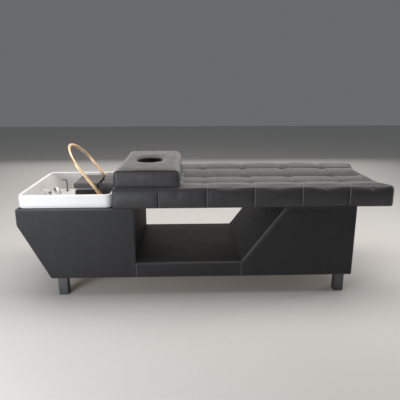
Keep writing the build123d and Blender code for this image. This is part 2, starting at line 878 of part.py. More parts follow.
lever_tip_x = lever_x - lever_length
lever_tip_z = lever_pivot_z + lever_rise
with BuildPart() as mixer_lever:
    with BuildSketch(Plane.XZ.offset(-mixer_y - lever_width / 2)):
        with BuildLine():
            Polyline(
                (lever_x, lever_pivot_z + lever_barrel_radius),
                (lever_tip_x, lever_tip_z),
                (lever_tip_x, lever_tip_z - lever_thickness),
                (lever_x - lever_barrel_radius, lever_pivot_z - lever_barrel_radius / 2),
                (lever_x, lever_pivot_z - lever_barrel_radius / 2),
                close=True,
            )
        make_face()
        with Locations((lever_x, lever_pivot_z)):
            Circle(lever_barrel_radius)
            Circle(lever_pin_radius + turret_clearance, mode=Mode.SUBTRACT)
    extrude(amount=lever_width)
    grip_end = edges().group_by(Axis.X)[0].filter_by(Axis.Z)
    fillet(grip_end, radius=lever_width / 2 - lever_round)
mixer_lever.part.label = "mixer_lever"
export_step(mixer_lever.part, "parts/mixer_lever.step")

# Hand shower in its deck socket
shower_x, shower_y = shower_place
shower_section = Plane(origin=(shower_x, shower_y, 0), x_dir=(1, 0, 0), z_dir=(0, -1, 0))
shower_axis = Axis((shower_x, shower_y, 0), (0, 0, 1))
socket_top = ledge_z + socket_height
socket_bore = socket_radius - socket_wall
with BuildPart() as shower_socket:
    with BuildSketch(shower_section):
        with BuildLine():
            Polyline(
                (socket_bore, ledge_z - socket_depth),
                (socket_radius, ledge_z - socket_depth),
                (socket_radius, ledge_z),
                (socket_flange_radius, ledge_z),
                (socket_flange_radius, ledge_z + socket_flange_height),
                (socket_radius, socket_top),
                (socket_bore, socket_top),
                close=True,
            )
        make_face()
    revolve(axis=shower_axis)
shower_socket.part.label = "shower_socket"
export_step(shower_socket.part, "parts/shower_socket.step")

grip_top = socket_top + turret_gap
neck_top = grip_top + neck_height
grip_radius = socket_bore - grip_clearance
spray_tilt = math.radians(shower_head_tilt)
spray_face = Plane(
    origin=(shower_x, shower_y, neck_top + shower_head_radius * math.cos(spray_tilt) / 2),
    x_dir=(0, 1, 0),
    z_dir=(math.cos(spray_tilt), 0, math.sin(spray_tilt)),
)
with BuildPart() as hand_shower:
    with BuildSketch(shower_section):
        with BuildLine():
            Polyline(
                (0, grip_top - grip_length),
                (grip_radius, grip_top - grip_length),
                (grip_radius, grip_top),
                (socket_radius, grip_top),
                (grip_radius * neck_taper_share, neck_top),
                (0, neck_top),
                close=True,
            )
        make_face()
    revolve(axis=shower_axis)
    with BuildSketch(spray_face.offset(-shower_head_thickness / 2)):
        Circle(shower_head_radius)
    extrude(amount=shower_head_thickness)
hand_shower.part.label = "hand_shower"
export_step(hand_shower.part, "parts/hand_shower.step")

# Bent hook beside the rear wall
hook_x, hook_y = hook_place
hook_foot_z = ledge_z + hook_flange_height
with BuildPart() as shower_hook:
    with BuildLine() as hook_path:
        FilletPolyline(
            (hook_x, hook_y, hook_foot_z),
            (hook_x, hook_y, ledge_z + hook_height),
            (hook_x - hook_arm, hook_y, ledge_z + hook_height),
            radius=hook_bend,
        )
    with BuildSketch(Plane.XY.offset(hook_foot_z)):
        with Locations((hook_x, hook_y)):
            Circle(hook_radius)
    sweep(path=hook_path.line)
    with BuildSketch(Plane.XY.offset(ledge_z)):
        with Locations((hook_x, hook_y)):
            Circle(hook_flange_radius)
    extrude(amount=hook_flange_height)
shower_hook.part.label = "shower_hook"
export_step(shower_hook.part, "parts/shower_hook.step")

# Spray arch: one bent tube of two legs, two shoulder arcs and a crown arc that meet tangentially
pivot_z = ledge_z + arch_pivot_height
tilt = math.radians(arch_tilt)
arch_up = Vector(-math.cos(tilt), 0, math.sin(tilt))
arch_plane = Plane(
    origin=(post_x, 0, pivot_z),
    x_dir=(0, 1, 0),
    z_dir=(math.sin(tilt), 0, math.cos(tilt)),
)
tube_start = sleeve_length - sleeve_socket
shoulder_reach = arch_half_width - arch_shoulder_radius
crown_radius = (arch_rise**2 + shoulder_reach**2 - arch_shoulder_radius**2) / (
    2 * (arch_rise - arch_shoulder_radius)
)
crown_centre = arch_leg_length + arch_rise - crown_radius
crown_angle = math.atan2(shoulder_reach, crown_radius - arch_rise)
shoulder_turn = math.pi / 2 - crown_angle


def shoulder_point(angle, side):
    """Point of a shoulder arc, counted from the leg's end, in the plane of the arch."""
    across = shoulder_reach + arch_shoulder_radius * math.cos(angle)
    return (side * across, arch_leg_length + arch_shoulder_radius * math.sin(angle))


with BuildPart() as arch_tube:
    with BuildLine(arch_plane) as arch_path:
        Line((arch_half_width, tube_start), (arch_half_width, arch_leg_length))
        ThreePointArc(
            (arch_half_width, arch_leg_length),
            shoulder_point(shoulder_turn / 2, 1),
            shoulder_point(shoulder_turn, 1),
        )
        ThreePointArc(
            shoulder_point(shoulder_turn, 1),
            (0, crown_centre + crown_radius),
            shoulder_point(shoulder_turn, -1),
        )
        ThreePointArc(
            shoulder_point(shoulder_turn, -1),
            shoulder_point(shoulder_turn / 2, -1),
            (-arch_half_width, arch_leg_length),
        )
        Line((-arch_half_width, arch_leg_length), (-arch_half_width, tube_start))
    with BuildSketch(Plane(arch_path.line @ 0, z_dir=arch_path.line % 0)):
        Circle(arch_tube_radius)
        Circle(arch_tube_radius - arch_tube_wall, mode=Mode.SUBTRACT)
    sweep(path=arch_path.line)
arch_tube.part.label = "arch_tube"
export_step(arch_tube.part, "parts/arch_tube.step")

knuckle_outer = arch_half_width + knuckle_length / 2
spigot_depth = knuckle_length * spigot_depth_share
for side_name, side in (("front", -1), ("rear", 1)):
    knuckle_face = Plane(origin=(post_x, side * knuckle_outer, pivot_z), x_dir=(1, 0, 0), z_dir=(0, -side, 0))
    leg_foot = Plane(origin=(post_x, side * arch_half_width, pivot_z), x_dir=(0, 1, 0), z_dir=arch_up)

    with BuildPart() as knuckle:
        with BuildSketch(knuckle_face):
            Circle(knuckle_radius)
        extrude(amount=knuckle_length)
        with BuildSketch(leg_foot):
            Circle(sleeve_radius)
        extrude(amount=sleeve_length)
        with BuildSketch(leg_foot.offset(tube_start)):
            Circle(arch_tube_radius + spigot_clearance)
        extrude(amount=sleeve_socket, mode=Mode.SUBTRACT)
        with BuildSketch(knuckle_face):
            Circle(spigot_radius + spigot_clearance)
        extrude(amount=spigot_depth + spigot_shoulder, mode=Mode.SUBTRACT)
    knuckle.part.label = f"arch_knuckle_{side_name}"
    export_step(knuckle.part, f"parts/arch_knuckle_{side_name}.step")

    post_section = Plane(origin=(post_x, side * post_y, 0), x_dir=(1, 0, 0), z_dir=(0, -1, 0))
    post_axis = Axis((post_x, side * post_y, 0), (0, 0, 1))
    spigot_face = Plane(origin=(post_x, side * post_y, pivot_z), x_dir=(1, 0, 0), z_dir=(0, -side, 0))
    with BuildPart() as arch_post:
        with BuildSketch(post_section):
            with BuildLine():
                Polyline(
                    (0, ledge_z - post_tail_length),
                    (post_tail_radius, ledge_z - post_tail_length),
                    (post_tail_radius, ledge_z),
                    (post_flange_radius, ledge_z),
                    (post_flange_radius, ledge_z + post_flange_height),
                    (post_radius, ledge_z + post_flange_height),
                    (post_radius, pivot_z + knuckle_radius),
                    (post_radius - post_dome, pivot_z + knuckle_radius + post_dome),
                    (0, pivot_z + knuckle_radius + post_dome),
                    close=True,
                )
            make_face()
        revolve(axis=post_axis)
        with BuildSketch(spigot_face):
            Circle(spigot_radius)
        extrude(amount=post_radius + spigot_shoulder + spigot_depth)
    arch_post.part.label = f"arch_post_{side_name}"
    export_step(arch_post.part, f"parts/arch_post_{side_name}.step")

with BuildPart() as post_nuts:
    with BuildSketch(Plane.XY.offset(underside_z)):
        with Locations(*post_places):
            RegularPolygon(post_nut_radius, 6)
            Circle(post_tail_radius + spigot_clearance, mode=Mode.SUBTRACT)
    extrude(amount=-post_nut_height)
post_nuts.part.label = "post_nuts"
export_step(post_nuts.part, "parts/post_nuts.step")

# Head rest: a bent bracket on the ledge, a base, two rails and a sliding pad
neck_wall_x = basin_foot_x - wall_inset(ledge_z)
bracket_foot_x = neck_wall_x - ledge_cove
riser_x = neck_wall_x - neck_gap - bracket_foot
tray_z = ledge_z + bracket_rise
tray_end_x = riser_x - bracket_reach
with BuildPart() as rest_bracket:
    with BuildSketch(Plane.XZ.offset(-bracket_width / 2)):
        with BuildLine():
            Polyline(
                (bracket_foot_x, ledge_z),
                (bracket_foot_x, ledge_z + bracket_sheet),
                (riser_x, ledge_z + bracket_sheet),
                (riser_x, tray_z + bracket_sheet),
                (tray_end_x, tray_z + bracket_sheet),
                (tray_end_x, tray_z),
                (riser_x - bracket_sheet, tray_z),
                (riser_x - bracket_sheet, ledge_z),
                close=True,
            )
        make_face()
    extrude(amount=bracket_width)
rest_bracket.part.label = "head_rest_bracket"
export_step(rest_bracket.part, "parts/head_rest_bracket.step")

rest_base_z = tray_z + bracket_sheet
with BuildPart() as rest_base:
    with BuildSketch(Plane.XY.offset(rest_base_z)):
        with Locations((tray_end_x, 0)):
            Rectangle(rest_base_length, rest_base_width, align=(Align.MIN, Align.CENTER))
    extrude(amount=rest_base_height)
    fillet(edges().filter_by(Axis.Z), radius=rest_base_round)
rest_base.part.label = "head_rest_base"
export_step(rest_base.part, "parts/head_rest_base.step")

rail_z = rest_base_z + rest_base_height
with BuildPart() as rest_rails:
    with BuildSketch(Plane.XY.offset(rail_z)):
        with Locations((tray_end_x + rail_inset + rail_length / 2, 0)):
            with GridLocations(0, rail_spacing, 1, 2):
                Rectangle(rail_length, rail_width)
    extrude(amount=rail_height)
rest_rails.part.label = "head_rest_rails"
export_step(rest_rails.part, "parts/head_rest_rails.step")

rest_pad_z = rail_z + rail_height + rest_pad_gap
rest_pad_x = tray_end_x - rest_pad_overhang
with BuildPart() as rest_pad:
    with BuildSketch(Plane.XY.offset(rest_pad_z)):
        with Locations((rest_pad_x, 0)):
            Rectangle(rest_pad_length, rest_pad_width, align=(Align.MIN, Align.CENTER))
    extrude(amount=rest_pad_height)
    fillet(edges().filter_by(Axis.Z), radius=rest_pad_round)
    fillet(faces().sort_by(Axis.Z)[-1].edges(), radius=rest_pad_round)
rest_pad.part.label = "head_rest_pad"
export_step(rest_pad.part, "parts/head_rest_pad.step")

# Neck rest: a saddle that stands on the bracket's foot and leans on the basin's neck wall
neck_foot_z = ledge_z + bracket_sheet
neck_top_z = rim_z + neck_height_above_rim
neck_x = rest_pad_x + rest_pad_length + neck_gap
neck_rim_x = basin_foot_x - rim_width - neck_wall_clearance
neck_low_x = neck_wall_x - neck_wall_clearance
with BuildPart() as neck_rest:
    with BuildSketch(Plane.XZ.offset(-neck_width / 2)):
        with BuildLine():
            Polyline(
                (riser_x + neck_wall_clearance, neck_foot_z),
                (bracket_foot_x, neck_foot_z),
                (neck_low_x, neck_foot_z + neck_gap),
                (neck_rim_x, rim_z),
                (neck_rim_x, neck_top_z),
                (neck_x, neck_top_z),
                (neck_x, rest_pad_z),
                (riser_x + neck_wall_clearance, rail_z),
                close=True,
            )
        make_face()
    extrude(amount=neck_width)
    with BuildSketch(Plane.YZ.offset(neck_x - cut_overrun)):
        with Locations((0, neck_top_z - neck_saddle_depth + neck_saddle_radius)):
            Circle(neck_saddle_radius)
    extrude(amount=neck_rim_x - neck_x + 2 * cut_overrun, mode=Mode.SUBTRACT)
neck_rest.part.label = "neck_rest"
export_step(neck_rest.part, "parts/neck_rest.step")

# Mattress: two scalloped profiles and a pinched plan meet in quilted pads with sewn valleys between
mattress_x = basin_foot_x + mattress_gap
mattress_top = cabinet_top + mattress_side_height
crest_z = cabinet_top + mattress_crest
valley_z = crest_z - valley_depth
strip_valley_z = crest_z - strip_valley_depth
seams = [mattress_x + first_seam + i * quilt_pitch for i in range(seam_count)]
pillow_x = mattress_x + pillow_start
pillow_end_x = pillow_x + pillow_length
pillow_z = cabinet_top + pillow_seat
seat_z = pillow_z - pillow_gap
seat_end_x = pillow_end_x + pillow_gap
strip_width = bed_width / strip_count
strip_seams = [-half_width + i * strip_width for i in range(strip_count + 1)]

with BuildPart() as mattress:
    # Lengthwise profile: flat under the pillow, then one arc for each quilted section
    with BuildSketch(Plane.XZ.offset(-half_width)):
        with BuildLine():
            Polyline(
                (seat_end_x, seat_z),
                (mattress_x, seat_z),
                (mattress_x, cabinet_top),
                (half_length, cabinet_top),
                (half_length, mattress_top),
            )
            section_ends = [(seat_end_x, seat_z)]
            section_ends += [(x, valley_z) for x in seams[1:]]
            section_ends += [(half_length, mattress_top)]
            for start, end in zip(section_ends, section_ends[1:]):
                ThreePointArc(start, ((start[0] + end[0]) / 2, crest_z), end)
        make_face()
        foot_corner = vertices().sort_by_distance((half_length, mattress_top))[0]
        fillet(foot_corner, radius=mattress_shoulder)
    extrude(amount=bed_width)
    # Crosswise profile: four strips between the long seams
    with BuildSketch(Plane.YZ.offset(mattress_x)):
        with BuildLine():
            Polyline(
                (-half_width, mattress_top),
                (-half_width, cabinet_top),
                (half_width, cabinet_top),
                (half_width, mattress_top),
            )
            strip_ends = [(-half_width, mattress_top)]
            strip_ends += [(y, strip_valley_z) for y in strip_seams[1:-1]]
            strip_ends += [(half_width, mattress_top)]
            for start, end in zip(strip_ends, strip_ends[1:]):
                ThreePointArc(start, ((start[0] + end[0]) / 2, crest_z - pillow_gap), end)
        make_face()
        for y in (-half_width, half_width):
            shoulder = vertices().sort_by_distance((y, mattress_top))[0]
            fillet(shoulder, radius=mattress_shoulder)
    extrude(amount=half_length - mattress_x, mode=Mode.INTERSECT)
    # Tufts: a shallow hollow at each crossing of the seams that the pillow leaves bare
    tuft_z = strip_valley_z - tuft_hollow_depth + tuft_hollow_radius
    with Locations(*[(x, y, tuft_z) for x in seams[1:] for y in strip_seams[1:-1]]):
        Sphere(tuft_hollow_radius, mode=Mode.SUBTRACT)
    # Plan: sides that bulge between the seams, and a foot end drawn in between its corners
    with BuildSketch(Plane.XY.offset(cabinet_top - cut_overrun)):
        with BuildLine():
            side_stops = [mattress_x] + seams + [half_length]
            for side in (-1, 1):
                for start, end in zip(side_stops, side_stops[1:]):
                    ThreePointArc(
                        (start, side * (half_width - side_bulge)),
                        ((start + end) / 2, side * (half_width - side_ease)),
                        (end, side * (half_width - side_bulge)),
                    )
                ThreePointArc(
                    (half_length, side * (half_width - side_bulge)),
                    (half_length - foot_pull * flare_share, side * (half_width - corner_flare / 2)),
                    (half_length - foot_pull, side * (half_width - corner_flare)),
                )
            Line(
                (half_length - foot_pull, -half_width + corner_flare),
                (half_length - foot_pull, half_width - corner_flare),
            )
            Line((mattress_x, -half_width + side_bulge), (mattress_x, half_width - side_bulge))
        make_face()
    extrude(amount=mattress_crest + 2 * cut_overrun, mode=Mode.INTERSECT)
    board_length = half_length - foot_pull - board_inset - mattress_x - board_inset
    with BuildSketch(Plane.XY.offset(cabinet_top)):
        with Locations((mattress_x + board_inset - board_clearance, 0)):
            Rectangle(
                board_length + 2 * board_clearance,
                bed_width - 2 * board_inset + 2 * board_clearance,
                align=(Align.MIN, Align.CENTER),
            )
    extrude(amount=board_thickness + board_clearance, mode=Mode.SUBTRACT)
mattress.part.label = "mattress"
export_step(mattress.part, "parts/mattress.step")

with BuildPart() as mattress_board:
    with BuildSketch(Plane.XY.offset(cabinet_top)):
        with Locations((mattress_x + board_inset, 0)):
            Rectangle(board_length, bed_width - 2 * board_inset, align=(Align.MIN, Align.CENTER))
    extrude(amount=board_thickness)
mattress_board.part.label = "mattress_board"
export_step(mattress_board.part, "parts/mattress_board.step")

# Face pillow: a crowned box cushion with an oval breathing hole, over a thin board
pillow_top = pillow_z + pillow_side_height
pillow_mid_x = pillow_x + pillow_length / 2
hole_x = pillow_mid_x - hole_offset
with BuildPart() as face_pillow:
    with BuildSketch(Plane.XZ.offset(-pillow_width / 2)):
        with BuildLine():
            Polyline(
                (pillow_x, pillow_top),
                (pillow_x, pillow_z),
                (pillow_end_x, pillow_z),
                (pillow_end_x, pillow_top),
            )
            ThreePointArc(
                (pillow_x, pillow_top),
                (pillow_mid_x, pillow_top + pillow_crown),
                (pillow_end_x, pillow_top),
            )
        make_face()
        for x in (pillow_x, pillow_end_x):
            shoulder = vertices().sort_by_distance((x, pillow_top))[0]
            fillet(shoulder, radius=pillow_shoulder)
    extrude(amount=pillow_width)
    with BuildSketch(Plane.YZ.offset(pillow_x)):
        with BuildLine():
            Polyline(
                (-pillow_width / 2, pillow_top),
                (-pillow_width / 2, pillow_z),
                (pillow_width / 2, pillow_z),
                (pillow_width / 2, pillow_top),
            )
            ThreePointArc(
                (-pillow_width / 2, pillow_top),
                (0, pillow_top + pillow_crown + pillow_gap),
                (pillow_width / 2, pillow_top),
            )
        make_face()
        for y in (-pillow_width / 2, pillow_width / 2):
            shoulder = vertices().sort_by_distance((y, pillow_top))[0]
            fillet(shoulder, radius=pillow_end_round)
    extrude(amount=pillow_length, mode=Mode.INTERSECT)
    with BuildSketch(Plane.XY.offset(pillow_z)):
        with Locations((pillow_mid_x, 0)):
            RectangleRounded(pillow_length, pillow_width, pillow_corner)
    extrude(amount=pillow_side_height + 2 * pillow_crown, mode=Mode.INTERSECT)
    with BuildSketch(Plane.XY.offset(pillow_z)):
        with Locations((hole_x, 0)):
            Ellipse(hole_length / 2, hole_width / 2)
    extrude(amount=pillow_side_height + 2 * pillow_crown, mode=Mode.SUBTRACT)
    with BuildSketch(Plane.XY.offset(pillow_z)):
        with Locations((pillow_mid_x, 0)):
            Rectangle(
                pillow_length - 2 * (pillow_board_inset - board_clearance),
                pillow_width - 2 * (pillow_board_inset - board_clearance),
            )
    extrude(amount=pillow_board_thickness + board_clearance, mode=Mode.SUBTRACT)
face_pillow.part.label = "face_pillow"
export_step(face_pillow.part, "parts/face_pillow.step")

with BuildPart() as pillow_board:
    with BuildSketch(Plane.XY.offset(pillow_z)):
        with Locations((pillow_mid_x, 0)):
            Rectangle(pillow_length - 2 * pillow_board_inset, pillow_width - 2 * pillow_board_inset)
        with Locations((hole_x, 0)):
            Ellipse(hole_length / 2 + board_clearance, hole_width / 2 + board_clearance, mode=Mode.SUBTRACT)
    extrude(amount=pillow_board_thickness)
pillow_board.part.label = "pillow_board"
export_step(pillow_board.part, "parts/pillow_board.step")
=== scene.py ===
"""Hair washing bed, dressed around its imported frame.

A leather covered base with a through niche carries a tufted mattress, a face pillow with a breathing hole and
a white wash basin with a spray arch, a head rest, a tap and a hand shower. Metres, in the frame's own axes:
+X to the foot end, +Y to the rear, +Z up.
"""
import json
import logging
import math
from dataclasses import dataclass, field
from enum import Enum
from typing import Callable, Iterable, Sequence

import bmesh
import bpy
import numpy as np
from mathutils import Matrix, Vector, noise
from mathutils.bvhtree import BVHTree


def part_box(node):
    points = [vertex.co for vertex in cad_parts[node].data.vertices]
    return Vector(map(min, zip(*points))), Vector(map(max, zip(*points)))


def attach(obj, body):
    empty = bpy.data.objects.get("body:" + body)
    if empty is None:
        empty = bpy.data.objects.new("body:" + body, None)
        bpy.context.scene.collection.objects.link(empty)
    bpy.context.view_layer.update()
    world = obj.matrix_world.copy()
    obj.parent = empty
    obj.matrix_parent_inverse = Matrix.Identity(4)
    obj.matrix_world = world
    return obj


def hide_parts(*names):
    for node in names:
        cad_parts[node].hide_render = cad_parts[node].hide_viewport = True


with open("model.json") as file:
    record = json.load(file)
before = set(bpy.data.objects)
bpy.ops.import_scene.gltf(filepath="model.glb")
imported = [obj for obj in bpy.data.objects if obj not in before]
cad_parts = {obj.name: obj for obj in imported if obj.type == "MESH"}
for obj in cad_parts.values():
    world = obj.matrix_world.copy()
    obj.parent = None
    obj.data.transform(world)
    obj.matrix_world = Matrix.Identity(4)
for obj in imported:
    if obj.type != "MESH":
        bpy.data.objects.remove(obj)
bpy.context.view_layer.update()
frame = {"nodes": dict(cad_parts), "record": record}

LOG = logging.getLogger("hair_washing_bed")
TOUCH = 1e-6
Triple = tuple[float, float, float]
Colour = Triple
Pair = tuple[float, float]
Array = np.ndarray
Faces = list[tuple[int, ...]]
Surface = tuple[Array, Faces]
Piece = bpy.types.Object
Material = bpy.types.Material
Socket = bpy.types.NodeSocket


class Side(Enum):
    """The two long sides of the bed, each with the sign of its Y."""

    FRONT = -1
    REAR = 1


def toned(colour: Colour, tone: float) -> Colour:
    """A lighter or darker tone of a colour."""
    return tuple(tone * part for part in colour)


class Graph:
    """A node tree that is filled with short calls."""

    def __init__(self, tree: bpy.types.NodeTree) -> None:
        """Keep the tree that is to be filled."""
        self.tree = tree

    def add(self, kind: str, inputs: dict | None = None, **settings: object) -> bpy.types.Node:
        """Add a node.

        Args:
            kind: Blender's name of the node.
            inputs: socket name or number, and either a value or the socket that feeds it.
            settings: properties of the node, set before its sockets.

        Returns:
            The new node.
        """
        node = self.tree.nodes.new(kind)
        for key, value in settings.items():
            setattr(node, key, value)
        for key, value in (inputs or {}).items():
            if isinstance(value, Socket):
                self.tree.links.new(value, node.inputs[key])
            else:
                node.inputs[key].default_value = value
        return node

    def maths(self, operation: str, first: object, second: object = 0.0) -> Socket:
        """Result of a Math node with two inputs."""
        return self.add("ShaderNodeMath", {0: first, 1: second}, operation=operation).outputs[0]

    def ramp(self, factor: Socket, stops: Sequence[tuple[float, Colour]]) -> Socket:
        """Colour from a ramp.

        Args:
            factor: the socket that is looked up.
            stops: place and colour of each stop.

        Returns:
            The colour socket.
        """
        node = self.add("ShaderNodeValToRGB", {0: factor})
        while len(node.color_ramp.elements) < len(stops):
            node.color_ramp.elements.new(1.0)
        for element, (place, colour) in zip(node.color_ramp.elements, stops):
            element.position = place
            element.color = (*colour, 1.0)
        return node.outputs[0]

    def shaded(self, factor: Socket, stops: Pair, colour: Colour, tones: Pair) -> Socket:
        """Colour that runs from one tone to another between two stops."""
        return self.ramp(factor, [(stop, toned(colour, tone)) for stop, tone in zip(stops, tones)])

    def mixed(self, share: Socket, first: Socket, second: Colour) -> Socket:
        """Colour of a socket, mixed with a plain colour by a share."""
        inputs = {0: share, 6: first, 7: (*second, 1.0)}
        return self.add("ShaderNodeMix", inputs, data_type="RGBA").outputs[2]

    def span(self, value: Socket, source: Pair, target: Pair) -> Socket:
        """Value mapped from one range to another, held at its ends."""
        node = self.add(
            "ShaderNodeMapRange",
            {0: value, 1: source[0], 2: source[1], 3: target[0], 4: target[1]},
        )
        return node.outputs[0]


class ShaderGraph(Graph):
    """A material's tree around one Principled shader, with patterns on Object coordinates."""

    def __init__(self, name: str) -> None:
        """Start a material.

        Args:
            name: the material's name.
        """
        self.material = bpy.data.materials.new(name)
        self.material.use_nodes = True
        super().__init__(self.material.node_tree)
        self.shader = self.tree.nodes["Principled BSDF"]
        self.place = self.add("ShaderNodeTexCoord").outputs["Object"]

    def stretched(self, scale: Triple) -> Socket:
        """Object coordinates, scaled along each axis."""
        return self.add("ShaderNodeMapping", {"Vector": self.place, "Scale": scale}).outputs[0]

    def noise(self, scale: float, detail: float = 2.0, place: Socket | None = None) -> Socket:
        """Value of a noise texture."""
        inputs = {"Vector": place or self.place, "Scale": scale, "Detail": detail}
        return self.add("ShaderNodeTexNoise", inputs).outputs[0]

    def bumps(self, layers: Sequence[tuple[Socket, float]]) -> None:
        """Chain bump nodes into the shader's normal.

        Args:
            layers: height socket and its depth in metres, from coarse to fine.
        """
        normal = None
        for height, depth in layers:
            inputs = {"Height": height, "Distance": depth, "Strength": 1.0}
            if normal is not None:
                inputs["Normal"] = normal
            normal = self.add("ShaderNodeBump", inputs).outputs[0]
        self.tree.links.new(normal, self.shader.inputs["Normal"])

    def set(self, **values: object) -> None:
        """Set the shader's sockets, named with underscores, to values or links."""
        for key, value in values.items():
            socket = self.shader.inputs[key.replace("_", " ")]
            if isinstance(value, Socket):
                self.tree.links.new(value, socket)
            else:
                socket.default_value = (*value, 1.0) if isinstance(value, tuple) else value


@dataclass(frozen=True)
class Leather:
    """Black upholstery leather: pebbled grain, soft mottling, and a painted highlight, lighter, where it is
    sewn or rounded.
    """

    name: str
    base: Colour = (0.030, 0.0295, 0.032)
    # Painted highlight: the lighter colour laid on sewn ridges and rounded edges, and how strongly it is laid
    # on.
    painted_highlight: Colour = (0.150, 0.149, 0.156)
    highlight_strength: float = 0.7
    mottle: Pair = (0.82, 1.18)
    roughness: Pair = (0.36, 0.48)
    specular: float = 0.45
    grain_scale: float = 620.0
    grain_depth: float = 0.00016
    grain_gap: float = 0.16
    gap_tone: float = 0.55
    gap_share: float = 0.45
    warp_scale: float = 90.0
    warp: float = 0.0016
    wave_depth: float = 0.0016
    pore_depth: float = 0.00003
    sheen: float = 0.12

    def material(self) -> Material:
        """The finished leather material."""
        g = ShaderGraph(self.name)
        inputs = {"Vector": g.place, "Scale": self.warp_scale, "Detail": 2.0}
        drift = g.add("ShaderNodeTexNoise", inputs).outputs["Color"]
        shift = g.add("ShaderNodeVectorMath", {0: drift, "Scale": self.warp}, operation="SCALE").outputs[0]
        moved = g.add("ShaderNodeVectorMath", {0: g.place, 1: shift}, operation="ADD").outputs[0]
        inputs = {"Vector": moved, "Scale": self.grain_scale}
        cells = g.add("ShaderNodeTexVoronoi", inputs, feature="DISTANCE_TO_EDGE").outputs[0]
        pebble = g.span(cells, (0.0, self.grain_gap), (0.0, 1.0))
        base = g.shaded(g.noise(14.0, 4.0), (0.30, 0.70), self.base, self.mottle)
        gaps = g.span(pebble, (0.0, 0.6), (self.gap_share, 0.0))
        grained = g.mixed(gaps, base, toned(self.base, self.gap_tone))
        # Painted highlight: lighter colour where the piece's vertex attribute asks for it, on sewn ridges and
        # rounded edges.
        painted_highlight = g.add("ShaderNodeAttribute", attribute_name="painted_highlight").outputs["Fac"]
        colour = g.mixed(g.maths("MULTIPLY", painted_highlight, self.highlight_strength), grained, self.painted_highlight)
        rough = g.span(g.noise(38.0, 3.0), (0.3, 0.7), self.roughness)
        g.set(Base_Color=colour, Roughness=rough, Sheen_Weight=self.sheen, Sheen_Roughness=0.5)
        g.set(IOR=1.5, Specular_IOR_Level=self.specular)
        waves = (g.noise(6.0, 2.0), self.wave_depth)
        pores = (g.noise(2400.0), self.pore_depth)
        g.bumps([waves, (pebble, self.grain_depth), pores])
        return g.material


@dataclass(frozen=True)
class Gloss:
    """Glossy moulded shell, with a faint wave in its reflections and a painted shade: a greyer colour where a
    piece marks it.
    """

    name: str
    base: Colour = (0.89, 0.895, 0.905)
    # Painted shade: the greyer colour laid where the shell is marked.
    shade_colour: Colour = (0.74, 0.735, 0.73)
    clouding: Pair = (0.975, 1.0)
    roughness: Pair = (0.07, 0.14)
    coat: float = 0.35
    wave_depth: float = 0.0006
    skin_depth: float = 0.000006

    def material(self) -> Material:
        """The finished gloss material."""
        g = ShaderGraph(self.name)
        clean = g.shaded(g.noise(9.0, 3.0), (0.35, 0.65), self.base, self.clouding)
        # Painted shade: greys the shell where the vertex attribute asks for it.
        basin_shade = g.add("ShaderNodeAttribute", attribute_name="basin_shade").outputs["Fac"]
        base = g.mixed(basin_shade, clean, self.shade_colour)
        rough = g.span(g.noise(60.0, 4.0), (0.35, 0.75), self.roughness)
        g.set(Base_Color=base, Roughness=rough, Coat_Weight=self.coat, Coat_Roughness=0.05, IOR=1.49)
        g.bumps([(g.noise(7.0, 1.0), self.wave_depth), (g.noise(900.0), self.skin_depth)])
        return g.material


@dataclass(frozen=True)
class Metal:
    """Metal with brush lines along one axis and small smudges."""

    name: str
    base: Colour
    roughness: Pair
    brush: Triple = (500.0, 500.0, 8.0)
    brush_depth: float = 0.00002
    tones: Pair = (0.86, 1.0)

    def material(self) -> Material:
        """The finished metal material."""
        g = ShaderGraph(self.name)
        lines = g.noise(1.0, 3.0, g.stretched(self.brush))
        smudge = g.noise(26.0, 3.0)
        base = g.shaded(lines, (0.30, 0.70), self.base, self.tones)
        both = g.maths("MULTIPLY", g.maths("ADD", lines, smudge), 0.5)
        g.set(Base_Color=base, Metallic=1.0, Roughness=g.span(both, (0.35, 0.65), self.roughness))
        g.bumps([(lines, self.brush_depth)])
        return g.material


@dataclass(frozen=True)
class Plastic:
    """Moulded plastic or rubber with a spark-eroded texture."""

    name: str
    base: Colour
    roughness: Pair
    texture_scale: float = 1400.0
    texture_depth: float = 0.00005
    clouding: Pair = (0.85, 1.10)

    def material(self) -> Material:
        """The finished plastic material."""
        g = ShaderGraph(self.name)
        base = g.shaded(g.noise(20.0, 3.0), (0.3, 0.7), self.base, self.clouding)
        rough = g.span(g.noise(75.0, 3.0), (0.3, 0.7), self.roughness)
        g.set(Base_Color=base, Roughness=rough)
        g.bumps([(g.noise(self.texture_scale, 3.0), self.texture_depth)])
        return g.material


@dataclass(frozen=True)
class Plywood:
    """Birch plywood with long pores and layered edges."""

    name: str
    light: Colour = (0.66, 0.50, 0.33)
    dark: Colour = (0.47, 0.32, 0.19)

    def material(self) -> Material:
        """The finished wood material."""
        g = ShaderGraph(self.name)
        figure = g.noise(1.0, 4.0, g.stretched((5.0, 60.0, 60.0)))
        pores = g.noise(1.0, 2.0, g.stretched((40.0, 900.0, 900.0)))
        inputs = {"Vector": g.place, "Scale": 110.0, "Distortion": 0.4}
        layers = g.add("ShaderNodeTexWave", inputs, bands_direction="Z").outputs["Fac"]
        tone = g.maths("ADD", g.maths("MULTIPLY", figure, 0.7), g.maths("MULTIPLY", layers, 0.25))
        base = g.ramp(tone, [(0.25, self.dark), (0.75, self.light)])
        g.set(Base_Color=base, Roughness=g.span(pores, (0.3, 0.7), (0.5, 0.72)))
        g.bumps([(pores, 0.00008)])
        return g.material


@dataclass(frozen=True)
class Thread:
    """Twisted polyester thread."""

    name: str
    base: Colour = (0.20, 0.20, 0.205)

    def material(self) -> Material:
        """The finished thread material."""
        g = ShaderGraph(self.name)
        inputs = {"Vector": g.place, "Scale": 500.0}
        twist = g.add("ShaderNodeTexWave", inputs, bands_direction="DIAGONAL").outputs["Fac"]
        base = g.shaded(twist, (0.2, 0.8), self.base, (0.6, 1.0))
        g.set(Base_Color=base, Roughness=g.span(twist, (0.0, 1.0), (0.5, 0.65)), Sheen_Weight=0.3)
        g.bumps([(twist, 0.0001)])
        return g.material


